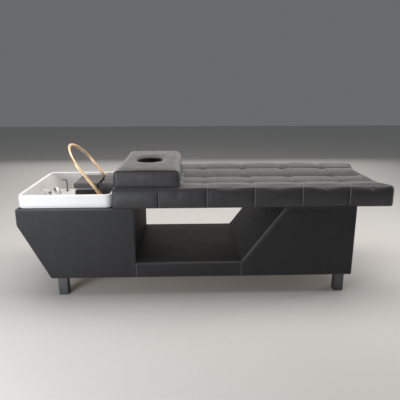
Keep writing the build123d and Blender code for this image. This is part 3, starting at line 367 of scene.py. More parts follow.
class Finishes:
    """Every material of the bed, made once."""

    def __init__(self) -> None:
        """Make the materials."""
        self.quilted = Leather("quilted_leather").material()
        self.panel = Leather(
            "panel_leather",
            base=(0.0155, 0.0155, 0.0175),
            roughness=(0.46, 0.58),
            specular=0.34,
            wave_depth=0.0022,
            sheen=0.05,
        ).material()
        self.niche = Leather(
            "niche_leather", base=(0.022, 0.022, 0.025), roughness=(0.66, 0.76), specular=0.22, sheen=0.0
        ).material()
        self.welt = Leather(
            "welt_leather", base=(0.012, 0.012, 0.014), grain_scale=760.0, wave_depth=0.0
        ).material()
        self.white = Gloss("white_shell").material()
        self.steel = Metal("brushed_steel", (0.125, 0.128, 0.134), (0.36, 0.50)).material()
        self.chrome = Metal("chrome", (0.80, 0.81, 0.83), (0.05, 0.13), brush_depth=0.0).material()
        even = (260.0, 260.0, 260.0)
        self.gold = Metal("champagne_gold", (0.90, 0.66, 0.40), (0.34, 0.46), even).material()
        self.gunmetal = Metal("gunmetal", (0.10, 0.10, 0.11), (0.26, 0.40), brush_depth=0.0).material()
        self.zinc = Metal("zinc_plate", (0.58, 0.60, 0.63), (0.30, 0.50), (180.0, 180.0, 180.0)).material()
        coated = (0.030, 0.030, 0.032)
        self.painted = Plastic("painted_steel", coated, (0.34, 0.46), 300.0, 0.00008).material()
        self.black = Plastic("black_moulding", (0.018, 0.018, 0.020), (0.36, 0.52)).material()
        self.foot = Plastic("foot_plastic", (0.022, 0.022, 0.022), (0.5, 0.66)).material()
        self.rubber = Plastic("rest_rubber", (0.055, 0.055, 0.063), (0.28, 0.42), 1800.0, 0.00003).material()
        self.pipe = Plastic("pipe_plastic", (0.74, 0.74, 0.72), (0.38, 0.5)).material()
        self.wood = Plywood("birch_plywood").material()
        self.thread = Thread("grey_thread").material()


def graded(stops: Sequence[float], fine: float, coarse: float, growth: float = 1.4) -> list[float]:
    """Coordinates that lie close together near each stop.

    Args:
        stops: places that are kept, in rising order.
        fine: first step away from a stop.
        coarse: longest step.
        growth: how much longer each step is than the one before it.

    Returns:
        Rising coordinates from the first stop to the last.
    """
    values = [stops[0]]
    for low, high in zip(stops, stops[1:]):
        half = (high - low) / 2
        steps, step = [], min(fine, half)
        while sum(steps) + step <= half:
            steps.append(step)
            step = min(coarse, step * growth)
        steps.append(max(half - sum(steps), fine / 2))
        offsets = np.cumsum(steps) * half / sum(steps)
        values += [low + o for o in offsets[:-1]] + [low + half]
        values += [high - o for o in offsets[:-1][::-1]] + [high]
    return values


def box_surface(xs: Sequence[float], ys: Sequence[float], zs: Sequence[float], rim: int = 3) -> Surface:
    """Grid over the six sides of a box, open inside the rim of its underside.

    Args:
        xs: grid places along X.
        ys: grid places along Y.
        zs: grid places along Z.
        rim: how many rows of small faces the underside has round its edge.

    Returns:
        Vertex places and faces that point outwards.
    """
    nx, ny, nz = len(xs), len(ys), len(zs)
    index: dict[tuple[int, int, int], int] = {}
    places: list[Triple] = []

    def at(i: int, j: int, k: int) -> int:
        """Number of the vertex at a grid place."""
        key = (i % nx, j % ny, k % nz)
        if key not in index:
            index[key] = len(places)
            places.append((xs[i], ys[j], zs[k]))
        return index[key]

    faces: Faces = []
    for i in range(nx - 1):
        for j in range(ny - 1):
            faces.append((at(i, j, -1), at(i + 1, j, -1), at(i + 1, j + 1, -1), at(i, j + 1, -1)))
            inside = rim <= i < nx - 1 - rim and rim <= j < ny - 1 - rim
            if not inside:
                faces.append((at(i, j, 0), at(i, j + 1, 0), at(i + 1, j + 1, 0), at(i + 1, j, 0)))
    for k in range(nz - 1):
        for i in range(nx - 1):
            faces.append((at(i, 0, k), at(i + 1, 0, k), at(i + 1, 0, k + 1), at(i, 0, k + 1)))
            faces.append((at(i, -1, k), at(i, -1, k + 1), at(i + 1, -1, k + 1), at(i + 1, -1, k)))
        for j in range(ny - 1):
            faces.append((at(0, j, k), at(0, j, k + 1), at(0, j + 1, k + 1), at(0, j + 1, k)))
            faces.append((at(-1, j, k), at(-1, j + 1, k), at(-1, j + 1, k + 1), at(-1, j, k + 1)))
    return np.array(places), faces


def ring_surface(rings: Sequence[Array], closed: bool = False, capped: bool = False) -> Surface:
    """Surface through rings with the same number of points each.

    Args:
        rings: each ring's points, in order round the ring.
        closed: whether the last ring joins the first.
        capped: whether the first and last rings get a face.

    Returns:
        Vertex places and faces.
    """
    count = len(rings[0])
    places = np.concatenate(rings)
    faces: Faces = []
    for r in range(len(rings) if closed else len(rings) - 1):
        here, there = r * count, ((r + 1) % len(rings)) * count
        for a in range(count):
            b = (a + 1) % count
            faces.append((here + a, here + b, there + b, there + a))
    if capped:
        faces.append(tuple(reversed(range(count))))
        faces.append(tuple(range((len(rings) - 1) * count, len(rings) * count)))
    return places, faces


def rounded_outline(centre: Pair, half: Pair, radius: float, arc: int = 10, run: int = 1) -> Array:
    """Points of a rounded rectangle in the XY plane, anticlockwise.

    Args:
        centre: its middle.
        half: half its size along X and Y.
        radius: corner radius.
        arc: steps in each corner.
        run: steps along each straight side.

    Returns:
        An array of X and Y.
    """
    points = []
    corners = ((1, 1, 0), (-1, 1, 1), (-1, -1, 2), (1, -1, 3))
    for sx, sy, quarter in corners:
        cx = centre[0] + sx * (half[0] - radius)
        cy = centre[1] + sy * (half[1] - radius)
        for step in range(arc + 1):
            angle = (quarter + step / arc) * math.pi / 2
            points.append((cx + radius * math.cos(angle), cy + radius * math.sin(angle)))
    if run < 2:
        return np.array(points)
    full = []
    for i, point in enumerate(points):
        full.append(point)
        if (i + 1) % (arc + 1) == 0:
            after = points[(i + 1) % len(points)]
            for step in range(1, run):
                share = step / run
                full.append(tuple(a + share * (b - a) for a, b in zip(point, after)))
    return np.array(full)


def tube(points: Array, radius: float, sides: int = 10, closed: bool = False) -> Surface:
    """Round tube along points, with closed ends.

    Args:
        points: the middle line.
        radius: the tube's radius.
        sides: faces round the tube.
        closed: whether the line is a loop.

    Returns:
        Vertex places and faces.
    """
    points = np.asarray(points, float)
    if closed:
        ahead, behind = np.roll(points, -1, 0), np.roll(points, 1, 0)
    else:
        ahead = np.vstack([points[1:], 2 * points[-1] - points[-2]])
        behind = np.vstack([2 * points[0] - points[1], points[:-1]])
    tangents = ahead - behind
    tangents /= np.linalg.norm(tangents, axis=1)[:, None]
    spare = np.array([0.0, 0.0, 1.0]) if abs(tangents[0][2]) < 0.9 else np.array([1.0, 0.0, 0.0])
    normal = np.cross(tangents[0], spare)
    normals = []
    for tangent in tangents:
        normal = normal - tangent * float(normal @ tangent)
        normal = normal / np.linalg.norm(normal)
        normals.append(normal)
    turn = 0.0
    if closed:
        first, last = normals[0], normals[-1] - tangents[0] * float(normals[-1] @ tangents[0])
        turn = math.atan2(float(np.cross(last, first) @ tangents[0]), float(last @ first))
    rings = []
    for i, (point, tangent, across) in enumerate(zip(points, tangents, normals)):
        side = np.cross(tangent, across)
        twist = turn * i / len(points)
        angles = np.arange(sides) * 2 * math.pi / sides + twist
        rings.append(point + radius * (np.cos(angles)[:, None] * across + np.sin(angles)[:, None] * side))
    return ring_surface(rings, closed=closed, capped=not closed)


def merged(parts: Iterable[Surface]) -> Surface:
    """Several surfaces as one."""
    places, faces, offset = [], [], 0
    for part_places, part_faces in parts:
        places.append(part_places)
        faces += [tuple(v + offset for v in face) for face in part_faces]
        offset += len(part_places)
    return np.concatenate(places), faces


def make_piece(name: str, surface: Surface, material: Material, flat: bool = False) -> Piece:
    """Mesh object at the origin, with its doubles merged and its faces outwards.

    Args:
        name: the piece's name.
        surface: vertex places and faces.
        material: its finish.
        flat: whether faces are shaded flat.

    Returns:
        The new object, linked to the scene.
    """
    mesh = bpy.data.meshes.new(name)
    mesh.from_pydata([tuple(p) for p in surface[0]], [], surface[1])
    work = bmesh.new()
    work.from_mesh(mesh)
    bmesh.ops.remove_doubles(work, verts=work.verts, dist=TOUCH)
    bmesh.ops.recalc_face_normals(work, faces=work.faces)
    work.to_mesh(mesh)
    work.free()
    mesh.materials.append(material)
    mesh.polygons.foreach_set("use_smooth", [not flat] * len(mesh.polygons))
    piece = bpy.data.objects.new(name, mesh)
    bpy.context.scene.collection.objects.link(piece)
    return piece


def copy_of(node: str, name: str, material: Material) -> Piece:
    """New piece with the shape of a CAD node.

    Args:
        node: the CAD node.
        name: the piece's name.
        material: its finish.

    Returns:
        The new object, with its place in its mesh.
    """
    source = frame["nodes"][node]
    places = np.array([source.matrix_world @ vertex.co for vertex in source.data.vertices])
    faces = [tuple(face.vertices) for face in source.data.polygons]
    return make_piece(name, (places, faces), material)


def places_of(piece: Piece) -> Array:
    """Vertex places of a mesh piece."""
    flat = np.empty(len(piece.data.vertices) * 3)
    piece.data.vertices.foreach_get("co", flat)
    return flat.reshape(-1, 3)


def normals_of(piece: Piece) -> Array:
    """Vertex normals of a mesh piece."""
    flat = np.empty(len(piece.data.vertices) * 3, np.float32)
    piece.data.vertex_normals.foreach_get("vector", flat)
    return flat.reshape(-1, 3).astype(float)


def set_places(piece: Piece, places: Array) -> None:
    """Move the vertices of a mesh piece."""
    piece.data.vertices.foreach_set("co", places.astype(np.float32).ravel())
    piece.data.update()


def close_underside(piece: Piece, rise: float = 0.0) -> None:
    """Close the opening in a piece's underside with one face.

    Args:
        piece: the open piece.
        rise: how far the closing face lies above the edge of the opening.
    """
    work = bmesh.new()
    work.from_mesh(piece.data)
    edges = [edge for edge in work.edges if edge.is_boundary]
    if rise:
        grown = bmesh.ops.extrude_edge_only(work, edges=edges)["geom"]
        for vertex in (item for item in grown if isinstance(item, bmesh.types.BMVert)):
            vertex.co.z += rise
        edges = [edge for edge in work.edges if edge.is_boundary]
    bmesh.ops.holes_fill(work, edges=edges, sides=0)
    bmesh.ops.recalc_face_normals(work, faces=work.faces)
    work.to_mesh(piece.data)
    work.free()
    piece.data.update()


def subdivided(piece: Piece, levels: int = 1) -> Piece:
    """Apply a subdivision surface to a piece."""
    modifier = piece.modifiers.new("Rounding", "SUBSURF")
    modifier.levels = modifier.render_levels = levels
    return applied(piece)


def applied(piece: Piece) -> Piece:
    """Turn a piece with modifiers into a plain mesh."""
    bpy.context.view_layer.update()
    seen = piece.evaluated_get(bpy.context.evaluated_depsgraph_get())
    mesh = bpy.data.meshes.new_from_object(seen)
    mesh.name = piece.name
    piece.modifiers.clear()
    piece.data = mesh
    return piece


def paint_highlight(piece: Piece, amount: Array) -> None:
    """Store how much painted highlight the leather gets at each vertex, from 0 to 1."""
    attribute = piece.data.attributes.new("painted_highlight", "FLOAT", "POINT")
    attribute.data.foreach_set("value", np.clip(amount, 0, 1).astype(np.float32))


def smooth_step(value: Array, low: float, high: float) -> Array:
    """Smooth rise from 0 at low to 1 at high."""
    share = np.clip((value - low) / (high - low), 0, 1)
    return share * share * (3 - 2 * share)


def bell(value: Array, width: float) -> Array:
    """Gaussian bump of a given width."""
    return np.exp(-((value / width) ** 2))


def wander(places: Array, scale: float, seed: float) -> Array:
    """Smooth noise between about -1 and 1 at each place."""
    shift = Vector((seed, 2 * seed, 3 * seed))
    return np.array([noise.noise(Vector(p) * scale + shift) for p in places])


def round_box(places: Array, low: Array, high: Array, flank: float, top: float, bottom: float) -> Array:
    """Round the edges of a box surface.

    Args:
        places: points on the box.
        low: its lowest corner.
        high: its highest corner.
        flank: radius of the upright edges.
        top: radius towards the top face.
        bottom: radius towards the bottom face.

    Returns:
        The moved points.
    """
    inner_low = low + np.array([flank, flank, bottom])
    inner_high = high - np.array([flank, flank, top])
    core = np.clip(places, inner_low, inner_high)
    reach = np.empty_like(places)
    reach[:, :2] = flank
    reach[:, 2] = np.where(places[:, 2] > core[:, 2], top, bottom)
    away = (places - core) / reach
    length = np.linalg.norm(away, axis=1)
    length[length < 1e-9] = 1.0
    return core + reach * away / length[:, None] * np.minimum(1.0, length)[:, None]


def inflate(piece: Piece, held: Array, cap: float, pressure: float = 4.0, slack: float = 0.02) -> None:
    """Blow a closed cover up by cloth simulation, held where it is sewn, and keep the result.

    Args:
        piece: the closed cover.
        held: how firmly each vertex is held, from 0 to 1.
        cap: the farthest that a point may move.
        pressure: the pressure inside.
        slack: how much longer the cloth is than its shape.
    """
    scene = bpy.context.scene
    last_frame = 20
    start = places_of(piece)
    group = piece.vertex_groups.new(name="held")
    levels = np.round(held, 1)
    for level in np.unique(levels):
        members = np.flatnonzero(levels == level).tolist()
        if level > 0:
            group.add(members, float(level), "REPLACE")
    cloth = piece.modifiers.new("Cover", "CLOTH")
    settings = cloth.settings
    settings.quality = 5
    settings.mass = 0.4
    settings.tension_stiffness = 12.0
    settings.compression_stiffness = 12.0
    settings.bending_stiffness = 0.4
    settings.use_pressure = True
    settings.uniform_pressure_force = pressure
    settings.shrink_min = -slack
    settings.vertex_group_mass = group.name
    settings.effector_weights.gravity = 0.0
    cloth.collision_settings.use_collision = False
    cloth.point_cache.frame_start = 1
    cloth.point_cache.frame_end = last_frame
    for step in range(1, last_frame + 1):
        scene.frame_set(step)
    seen = piece.evaluated_get(bpy.context.evaluated_depsgraph_get())
    end = np.empty(len(start) * 3)
    seen.data.vertices.foreach_get("co", end)
    moved = end.reshape(-1, 3) - start
    length = np.linalg.norm(moved, axis=1)
    share = np.minimum(1.0, cap / np.maximum(length, 1e-9))
    piece.modifiers.remove(cloth)
    piece.vertex_groups.clear()
    scene.frame_set(1)
    set_places(piece, start + moved * share[:, None])
    LOG.info("%s: cover moved %.1f mm on average", piece.name, 1000 * float(length.mean()))


class Trim(Enum):
    """Small pieces that are set in rows, each with the segments and rings of its ball."""

    STITCH = (6, 5)
    BEAD = (8, 6)


class Trims:
    """Rows of small pieces, set along lines by Geometry Nodes."""

    def __init__(self) -> None:
        """Build a tree for each small piece."""
        self.trees = {trim: self._tree(f"{trim.name.lower()}_run", trim) for trim in Trim}

    def _tree(self, name: str, trim: Trim) -> bpy.types.NodeTree:
        """A tree that sets a small stretched ball at even steps along the edges of a mesh.

        Args:
            name: the tree's name.
            trim: the small piece.

        Returns:
            The tree, whose inputs are Pitch, Length, Width and Finish.
        """
        tree = bpy.data.node_groups.new(name, "GeometryNodeTree")
        tree.interface.new_socket("Geometry", in_out="INPUT", socket_type="NodeSocketGeometry")
        for label in ("Pitch", "Length", "Width"):
            tree.interface.new_socket(label, in_out="INPUT", socket_type="NodeSocketFloat")
        tree.interface.new_socket("Finish", in_out="INPUT", socket_type="NodeSocketMaterial")
        tree.interface.new_socket("Geometry", in_out="OUTPUT", socket_type="NodeSocketGeometry")
        g = Graph(tree)
        given = g.add("NodeGroupInput").outputs
        line = g.add("GeometryNodeMeshToCurve", {0: given["Geometry"]}).outputs[0]
        spots = g.add("GeometryNodeCurveToPoints", {"Curve": line, "Length": given["Pitch"]}, mode="LENGTH")
        segments, rings = trim.value
        inputs = {"Segments": segments, "Rings": rings, "Radius": 1.0}
        ball = g.add("GeometryNodeMeshUVSphere", inputs).outputs[0]
        inputs = {0: given["Width"], 1: given["Width"], 2: given["Length"]}
        size = g.add("ShaderNodeCombineXYZ", inputs).outputs[0]
        small = g.add("GeometryNodeTransform", {"Geometry": ball, "Scale": size}).outputs[0]
        points, turns = spots.outputs["Points"], spots.outputs["Rotation"]
        inputs = {"Points": points, "Instance": small, "Rotation": turns}
        copies = g.add("GeometryNodeInstanceOnPoints", inputs).outputs[0]
        real = g.add("GeometryNodeRealizeInstances", {0: copies}).outputs[0]
        dressed = g.add("GeometryNodeSetMaterial", {"Geometry": real, "Material": given["Finish"]}).outputs[0]
        smooth = g.add("GeometryNodeSetShadeSmooth", {"Geometry": dressed}).outputs[0]
        g.add("NodeGroupOutput", {0: smooth})
        return tree

    def run(
        self,
        name: str,
        lines: Sequence[Array],
        trim: Trim,
        sizes: Triple,
        finish: Material,
    ) -> Piece:
        """Set small pieces along lines.

        Args:
            name: the piece's name.
            lines: points of each line.
            trim: the small piece.
            sizes: pitch, half length and half width.
            finish: the material.

        Returns:
            One mesh piece with all the copies.
        """
        mesh = bpy.data.meshes.new(name)
        edges, offset = [], 0
        for line in lines:
            edges += [(offset + i, offset + i + 1) for i in range(len(line) - 1)]
            offset += len(line)
        mesh.from_pydata([tuple(p) for line in lines for p in line], edges, [])
        piece = bpy.data.objects.new(name, mesh)
        bpy.context.scene.collection.objects.link(piece)
        modifier = piece.modifiers.new("Trim", "NODES")
        tree = self.trees[trim]
        modifier.node_group = tree
        values = dict(zip(("Pitch", "Length", "Width"), sizes), Finish=finish)
        for item in tree.interface.items_tree:
            if item.in_out == "INPUT" and item.name in values:
                modifier[item.identifier] = values[item.name]
        return applied(piece)


def settle(
    piece: Piece,
    body: str,
    replaces: Sequence[str] = (),
) -> Piece:
    """Attach a finished piece to its body and hide the CAD nodes that it stands for.

    Args:
        piece: the finished piece.
        body: the CAD body that it rides on.
        replaces: CAD nodes that it stands for.

    Returns:
        The piece.
    """
    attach(piece, body)
    if replaces:
        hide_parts(*replaces)
    LOG.info("%s: %d faces on %s", piece.name, len(piece.data.polygons), body)
    return piece


def surface_tree(piece: Piece) -> BVHTree:
    """Search tree of a piece's faces."""
    mesh = piece.data
    return BVHTree.FromPolygons([v.co for v in mesh.vertices], [p.vertices for p in mesh.polygons])


def cast_line(tree: BVHTree, starts: Iterable[Vector], direction: Vector, lift: float) -> Array:
    """Points where rays meet a surface, lifted a little towards where they come from.

    Args:
        tree: the surface.
        starts: where each ray starts.
        direction: where the rays go.
        lift: distance that the points stand off the surface.

    Returns:
        The points, without those of rays that miss.
    """
    hits = []
    for start in starts:
        hit = tree.ray_cast(start, direction)[0]
        if hit is not None:
            hits.append(tuple(hit - direction * lift))
    return np.array(hits)


@dataclass(frozen=True)
class Fold:
    """Groove that runs along a seam, or a ridge where it is taken off."""

    depth: float
    place: float
    width: float

    def across(self, gap: Array) -> Array:
        """Its depth at a distance from the seam."""
        return self.depth * bell(gap - self.place, self.width)


@dataclass
class Mattress:
    """Tufted couch mattress: four long strips, five cross seams, a drawn-in foot end.

    Rows are given from the front to the rear, and a pair of places is where a thing starts and where it ends.
    """

    finishes: Finishes
    trims: Trims
    side_top: float = 0.602
    side_levels: tuple[float, ...] = (0, 0.03, 0.09, 0.18, 0.3, 0.42, 0.55, 0.68, 0.8, 0.9, 0.97, 1)
    fine_x: float = 0.003
    fine_y: float = 0.0035
    coarse: float = 0.014
    row_heights: tuple[float, ...] = (0.587, 0.586, 0.602)
    rim_heights: Pair = (0.602, 0.608)
    rim_width: float = 0.045
    swell: float = 0.0045
    rear_fall: float = 0.007
    rear_fall_x: Pair = (0.60, 0.92)
    rear_fall_y: Pair = (0.10, 0.25)
    flat_top: float = 0.6034
    quilt_start: Pair = (-0.150, -0.105)
    covered_x: float = -0.145
    shoulder: float = 0.024
    flank: float = 0.018
    hem: float = 0.006
    hem_wave: float = 0.0006
    bulge: float = 0.007
    bulge_inset: float = 0.004
    seam_pitch: float = 0.2525
    first_seam: float = 0.2405
    seam_count: int = 5
    strip_count: int = 4
    seam_dip: float = 0.0003
    seam_sag: Pair = (0.0002, 0.0012)
    sag_width: float = 0.016
    edge_zone: Pair = (0.060, 0.025)
    tuft_depth: float = 0.0080
    tuft_shares: tuple[float, ...] = (0.6, 1.0, 1.0)
    tuft_reach: float = 0.018
    tuft_pit: float = 0.0090
    pit_width: float = 0.0095
    row_creases: tuple[float, ...] = (0.0003, 0.0058, 0.0022)
    crease_width: float = 0.0038
    top_seam: Fold = Fold(0.0026, 0.0, 0.0028)
    side_seam: Fold = Fold(0.0050, 0.0, 0.0026)
    side_folds: tuple[Fold, Fold] = (Fold(0.0013, -0.0100, 0.0026), Fold(0.0009, -0.0185, 0.0026))
    ridge: Fold = Fold(0.0028, 0.0055, 0.0027)
    # Painted highlight along the raised ridge beside each cross seam: strength, offset and width.
    ridge_highlight: Fold = Fold(0.9, 0.0050, 0.0021)
    pleat_angles: tuple[int, ...] = (12, 33, 58, 122, 147, 168, 194, 217, 243, 297, 322, 349)
    pleat_depth: float = 0.0016
    pleat_width: float = 0.0036
    pleat_length: float = 0.050
    pleat_spread: float = 0.026
    pleat_reach: float = 0.12
    foot_pull: float = 0.042
    pull_run: float = 0.26
    corner_flare: float = 0.090
    rear_flare: float = 0.220
    flare_end: float = 0.012
    stitch_gap: float = 0.0055
    stitch: Triple = (0.0066, 0.0024, 0.0007)
    stitch_points: int = 18
    seam_hold: float = 0.8
    row_hold: float = 0.7
    hold_width: float = 0.004
    tuft_hold_width: float = 0.012
    cap: float = 0.005
    slack: float = 0.004
    board_recess: float = 0.0155
    low: Vector = field(init=False)
    high: Vector = field(init=False)
    seams: list[float] = field(init=False)
    rows: list[float] = field(init=False)

    def __post_init__(self) -> None:
        """Work out the seam places from the CAD box."""
        self.low, self.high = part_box("mattress")
        self.seams = [self.low.x + self.first_seam + i * self.seam_pitch for i in range(self.seam_count)]
        strip = (self.high.y - self.low.y) / self.strip_count
        self.rows = [self.low.y + i * strip for i in range(1, self.strip_count)]

    def crown(self, value: Array, stops: Sequence[float]) -> Array:
        """How far a place lies from the nearest two stops: 0 at a stop, 1 half way between two."""
        stops = np.asarray(stops)
        cell = np.clip(np.searchsorted(stops, value) - 1, 0, len(stops) - 2)
        low, high = stops[cell], stops[cell + 1]
        return np.clip(1 - (2 * (value - (low + high) / 2) / (high - low)) ** 2, 0, 1)

    def near_side(self, y: Array) -> Array:
        """Rise from 0 on the top to 1 beside the long sides, where the cross seams cut in."""
        start, end = self.edge_zone
        return smooth_step(np.abs(y), self.high.y - start, self.high.y - end)

    def top_height(self, x: Array, y: Array) -> Array:
        """Height of the quilted top at each place."""
        half = self.high.y
        along = self.crown(x, [self.low.x - 0.05, *self.seams, self.high.x + 0.08])
        across = self.crown(y, [-half - 0.02, *self.rows, half + 0.02])
        stops = [-half, self.rim_width - half, *self.rows, half - self.rim_width, half]
        heights = [self.side_top, self.rim_heights[0], *self.row_heights, self.rim_heights[1], self.side_top]
        height = np.interp(y, stops, heights) + self.swell * across**0.7 - self.seam_dip * (1 - along**0.5)
        height -= self.rear_fall * smooth_step(x, *self.rear_fall_x) * smooth_step(y, *self.rear_fall_y)
        sag = self.seam_sag[0] + self.seam_sag[1] * self.near_side(y)
        for seam in self.seams:
            height -= bell(x - seam, self.sag_width) * sag
            for row, share in zip(self.rows, self.tuft_shares):
                reach = np.hypot(x - seam, (y - row) * 1.15)
                height -= self.tuft_depth * share * np.exp(-((reach / self.tuft_reach) ** 1.3))
        quilted = smooth_step(x, *self.quilt_start)
        return self.flat_top + (height - self.flat_top) * quilted

    def pleats(self, x: Array, y: Array) -> Array:
        """Small folds that run out from each tuft, seen from above."""
        total = np.zeros_like(x)
        for n, seam in enumerate(self.seams):
            for m, row in enumerate(self.rows):
                dx, dy = x - seam, y - row
                near = np.hypot(dx, dy) < self.pleat_reach
                reach = np.hypot(dx, dy)[near]
                angle = np.degrees(np.arctan2(dy[near], dx[near])) % 360
                start = smooth_step(reach, 0.006, 0.02)
                part = np.zeros(near.sum())
                for f, fan in enumerate(self.pleat_angles):
                    drift = 6 * math.sin(7.3 * n + 3.1 * m + 1.7 * f)
                    longest = self.pleat_length + self.pleat_spread * math.sin(2.9 * n + 5.3 * m + 2.3 * f)
                    gap = (angle - fan - drift + 180) % 360 - 180
                    end = 1 - smooth_step(reach, 0.4 * longest, longest)
                    part += bell(np.radians(gap) * reach, self.pleat_width) * start * end
                total[near] += part
        return total

    def cover(self) -> Piece:
        """The closed cover before it is blown up."""
        low, high = self.low, self.high
        xs = graded([low.x, *self.seams, high.x], self.fine_x, self.coarse)
        ys = graded([low.y, *self.rows, high.y], self.fine_y, self.coarse)
        zs = [low.z + share * (self.side_top - low.z) for share in self.side_levels]
        flat, faces = box_surface(xs, ys, zs)
        corner_low = np.array([low.x, low.y, low.z])
        corner_high = np.array([high.x, high.y, self.side_top])
        places = round_box(flat, corner_low, corner_high, self.flank, self.shoulder, self.hem)
        x, y, z = flat.T
        share = (z - low.z) / (self.side_top - low.z)
        edge_x = np.minimum(x - low.x, high.x - x)
        edge_y = np.minimum(y - low.y, high.y - y)
        ease = smooth_step(np.minimum(edge_x, edge_y), 0.0, 0.05)
        lift = (self.top_height(x, y) - self.side_top) * ease
        places[:, 2] += np.where(z > self.side_top - TOUCH, lift, 0.0)
        along = self.crown(x, [low.x - 0.02, *self.seams, high.x + 0.02])
        swell = self.bulge * (0.25 + 0.75 * along**0.6) * np.sin(math.pi * np.clip(share, 0, 1)) ** 0.8
        on_side = edge_y < TOUCH
        places[:, 1] += np.where(on_side, np.sign(y) * (swell - self.bulge_inset), 0.0)
        at_foot = np.abs(x - high.x) < TOUCH
        places[:, 0] += np.where(at_foot & ~on_side, 0.3 * swell, 0.0)
        wave = self.hem_wave * (np.sin(places[:, 0] * 19.0) - 1) * bell(share, 0.2)
        places[:, 2] += np.where(on_side, wave * smooth_step(np.abs(places[:, 0] - low.x), 0, 0.1), 0.0)
        flare = np.where(places[:, 1] > 0, self.rear_flare, self.corner_flare)
        outward = smooth_step(np.abs(places[:, 1]), high.y - flare, high.y - self.flare_end)
        pull = self.foot_pull * (1 - outward)
        places[:, 0] -= pull * smooth_step(places[:, 0], high.x - self.pull_run, high.x)
        return make_piece("mattress_cover", (places, faces), self.finishes.quilted)

    def held(self, piece: Piece) -> Array:
        """How firmly each vertex of the cover is sewn down."""
        x, y, z = places_of(piece).T
        above = z > self.low.z + 0.05
        firm = 1 - smooth_step(z - self.low.z, 0.004, 0.02)
        for seam in self.seams:
            firm = np.maximum(firm, self.seam_hold * bell(x - seam, self.hold_width))
            for row in self.rows:
                firm = np.maximum(firm, bell(np.hypot(x - seam, y - row), self.tuft_hold_width) * above)
        for row in self.rows:
            firm = np.maximum(firm, self.row_hold * bell(y - row, self.hold_width) * above)
        return np.maximum(firm, (x < self.covered_x) & (z > self.low.z + 0.09))

    def crease(self, piece: Piece) -> None:
        """Press the seams, pleats and folds into the fine mesh, and lay painted highlights on the seam ridges
        and the long shoulders.
        """
        places, normals = places_of(piece), normals_of(piece)
        x, y, z = places.T
        upward = smooth_step(normals[:, 2], 0.35, 0.8)
        sideways = smooth_step(np.abs(normals[:, 1]), 0.45, 0.85)
        open_top = upward * smooth_step(x, -0.14, -0.11)
        outer = self.near_side(y)
        hem_fade = smooth_step(z - self.low.z, 0.004, 0.014)
        depth = self.pleat_depth * self.pleats(x, y) * open_top
        for row, press in zip(self.rows, self.row_creases):
            depth += press * bell(y - row, self.crease_width) * open_top
        ridge_highlights = np.zeros(len(places))
        for seam in self.seams:
            gap = x - seam
            for row in self.rows:
                depth += self.tuft_pit * bell(np.hypot(gap, 0.55 * (y - row)), self.pit_width) * open_top
            ridge = self.ridge.across(gap)
            folds = self.side_folds[0].across(gap) + self.side_folds[1].across(gap)
            depth += sideways * hem_fade * (self.side_seam.across(gap) + folds - ridge)
            depth += open_top * outer * (self.top_seam.across(gap) - 0.5 * ridge)
            # Painted highlight along the raised ridge beside each cross seam.
            ridge_highlights += self.ridge_highlight.across(gap) * np.maximum(sideways, 0.45 * outer * open_top)
        slump = 0.0009 * wander(places, 11.0, 3.0) + 0.0004 * wander(places, 34.0, 8.0)
        places -= normals * (depth - slump * (z > self.low.z + 0.012))[:, None]
        set_places(piece, places)
        # Painted highlight on the rounded shoulders along both long sides of the top.
        bent = bell(np.abs(y) - self.high.y + 0.010, 0.012) * upward
        paint_highlight(piece, 0.35 * bent + np.maximum(0, ridge_highlights) * hem_fade)

    def build(self) -> None:
        """Make, blow up, crease and dress the mattress."""
        piece = self.cover()
        inflate(piece, self.held(piece), self.cap, slack=self.slack)
        subdivided(piece)
        close_underside(piece, self.board_recess)
        self.crease(piece)
        settle(piece, "bed", ["mattress"])
        tree = surface_tree(piece)
        heights = np.linspace(self.low.z + self.hem, self.side_top - self.hem, self.stitch_points)
        lines = []
        for side in Side:
            for seam in self.seams:
                starts = [Vector((seam + self.stitch_gap, side.value * 0.5, h)) for h in heights]
                lines.append(cast_line(tree, starts, Vector((0, -side.value, 0)), 0.0003))
        stitches = self.trims.run("mattress_stitches", lines, Trim.STITCH, self.stitch, self.finishes.thread)
        settle(stitches, "bed")


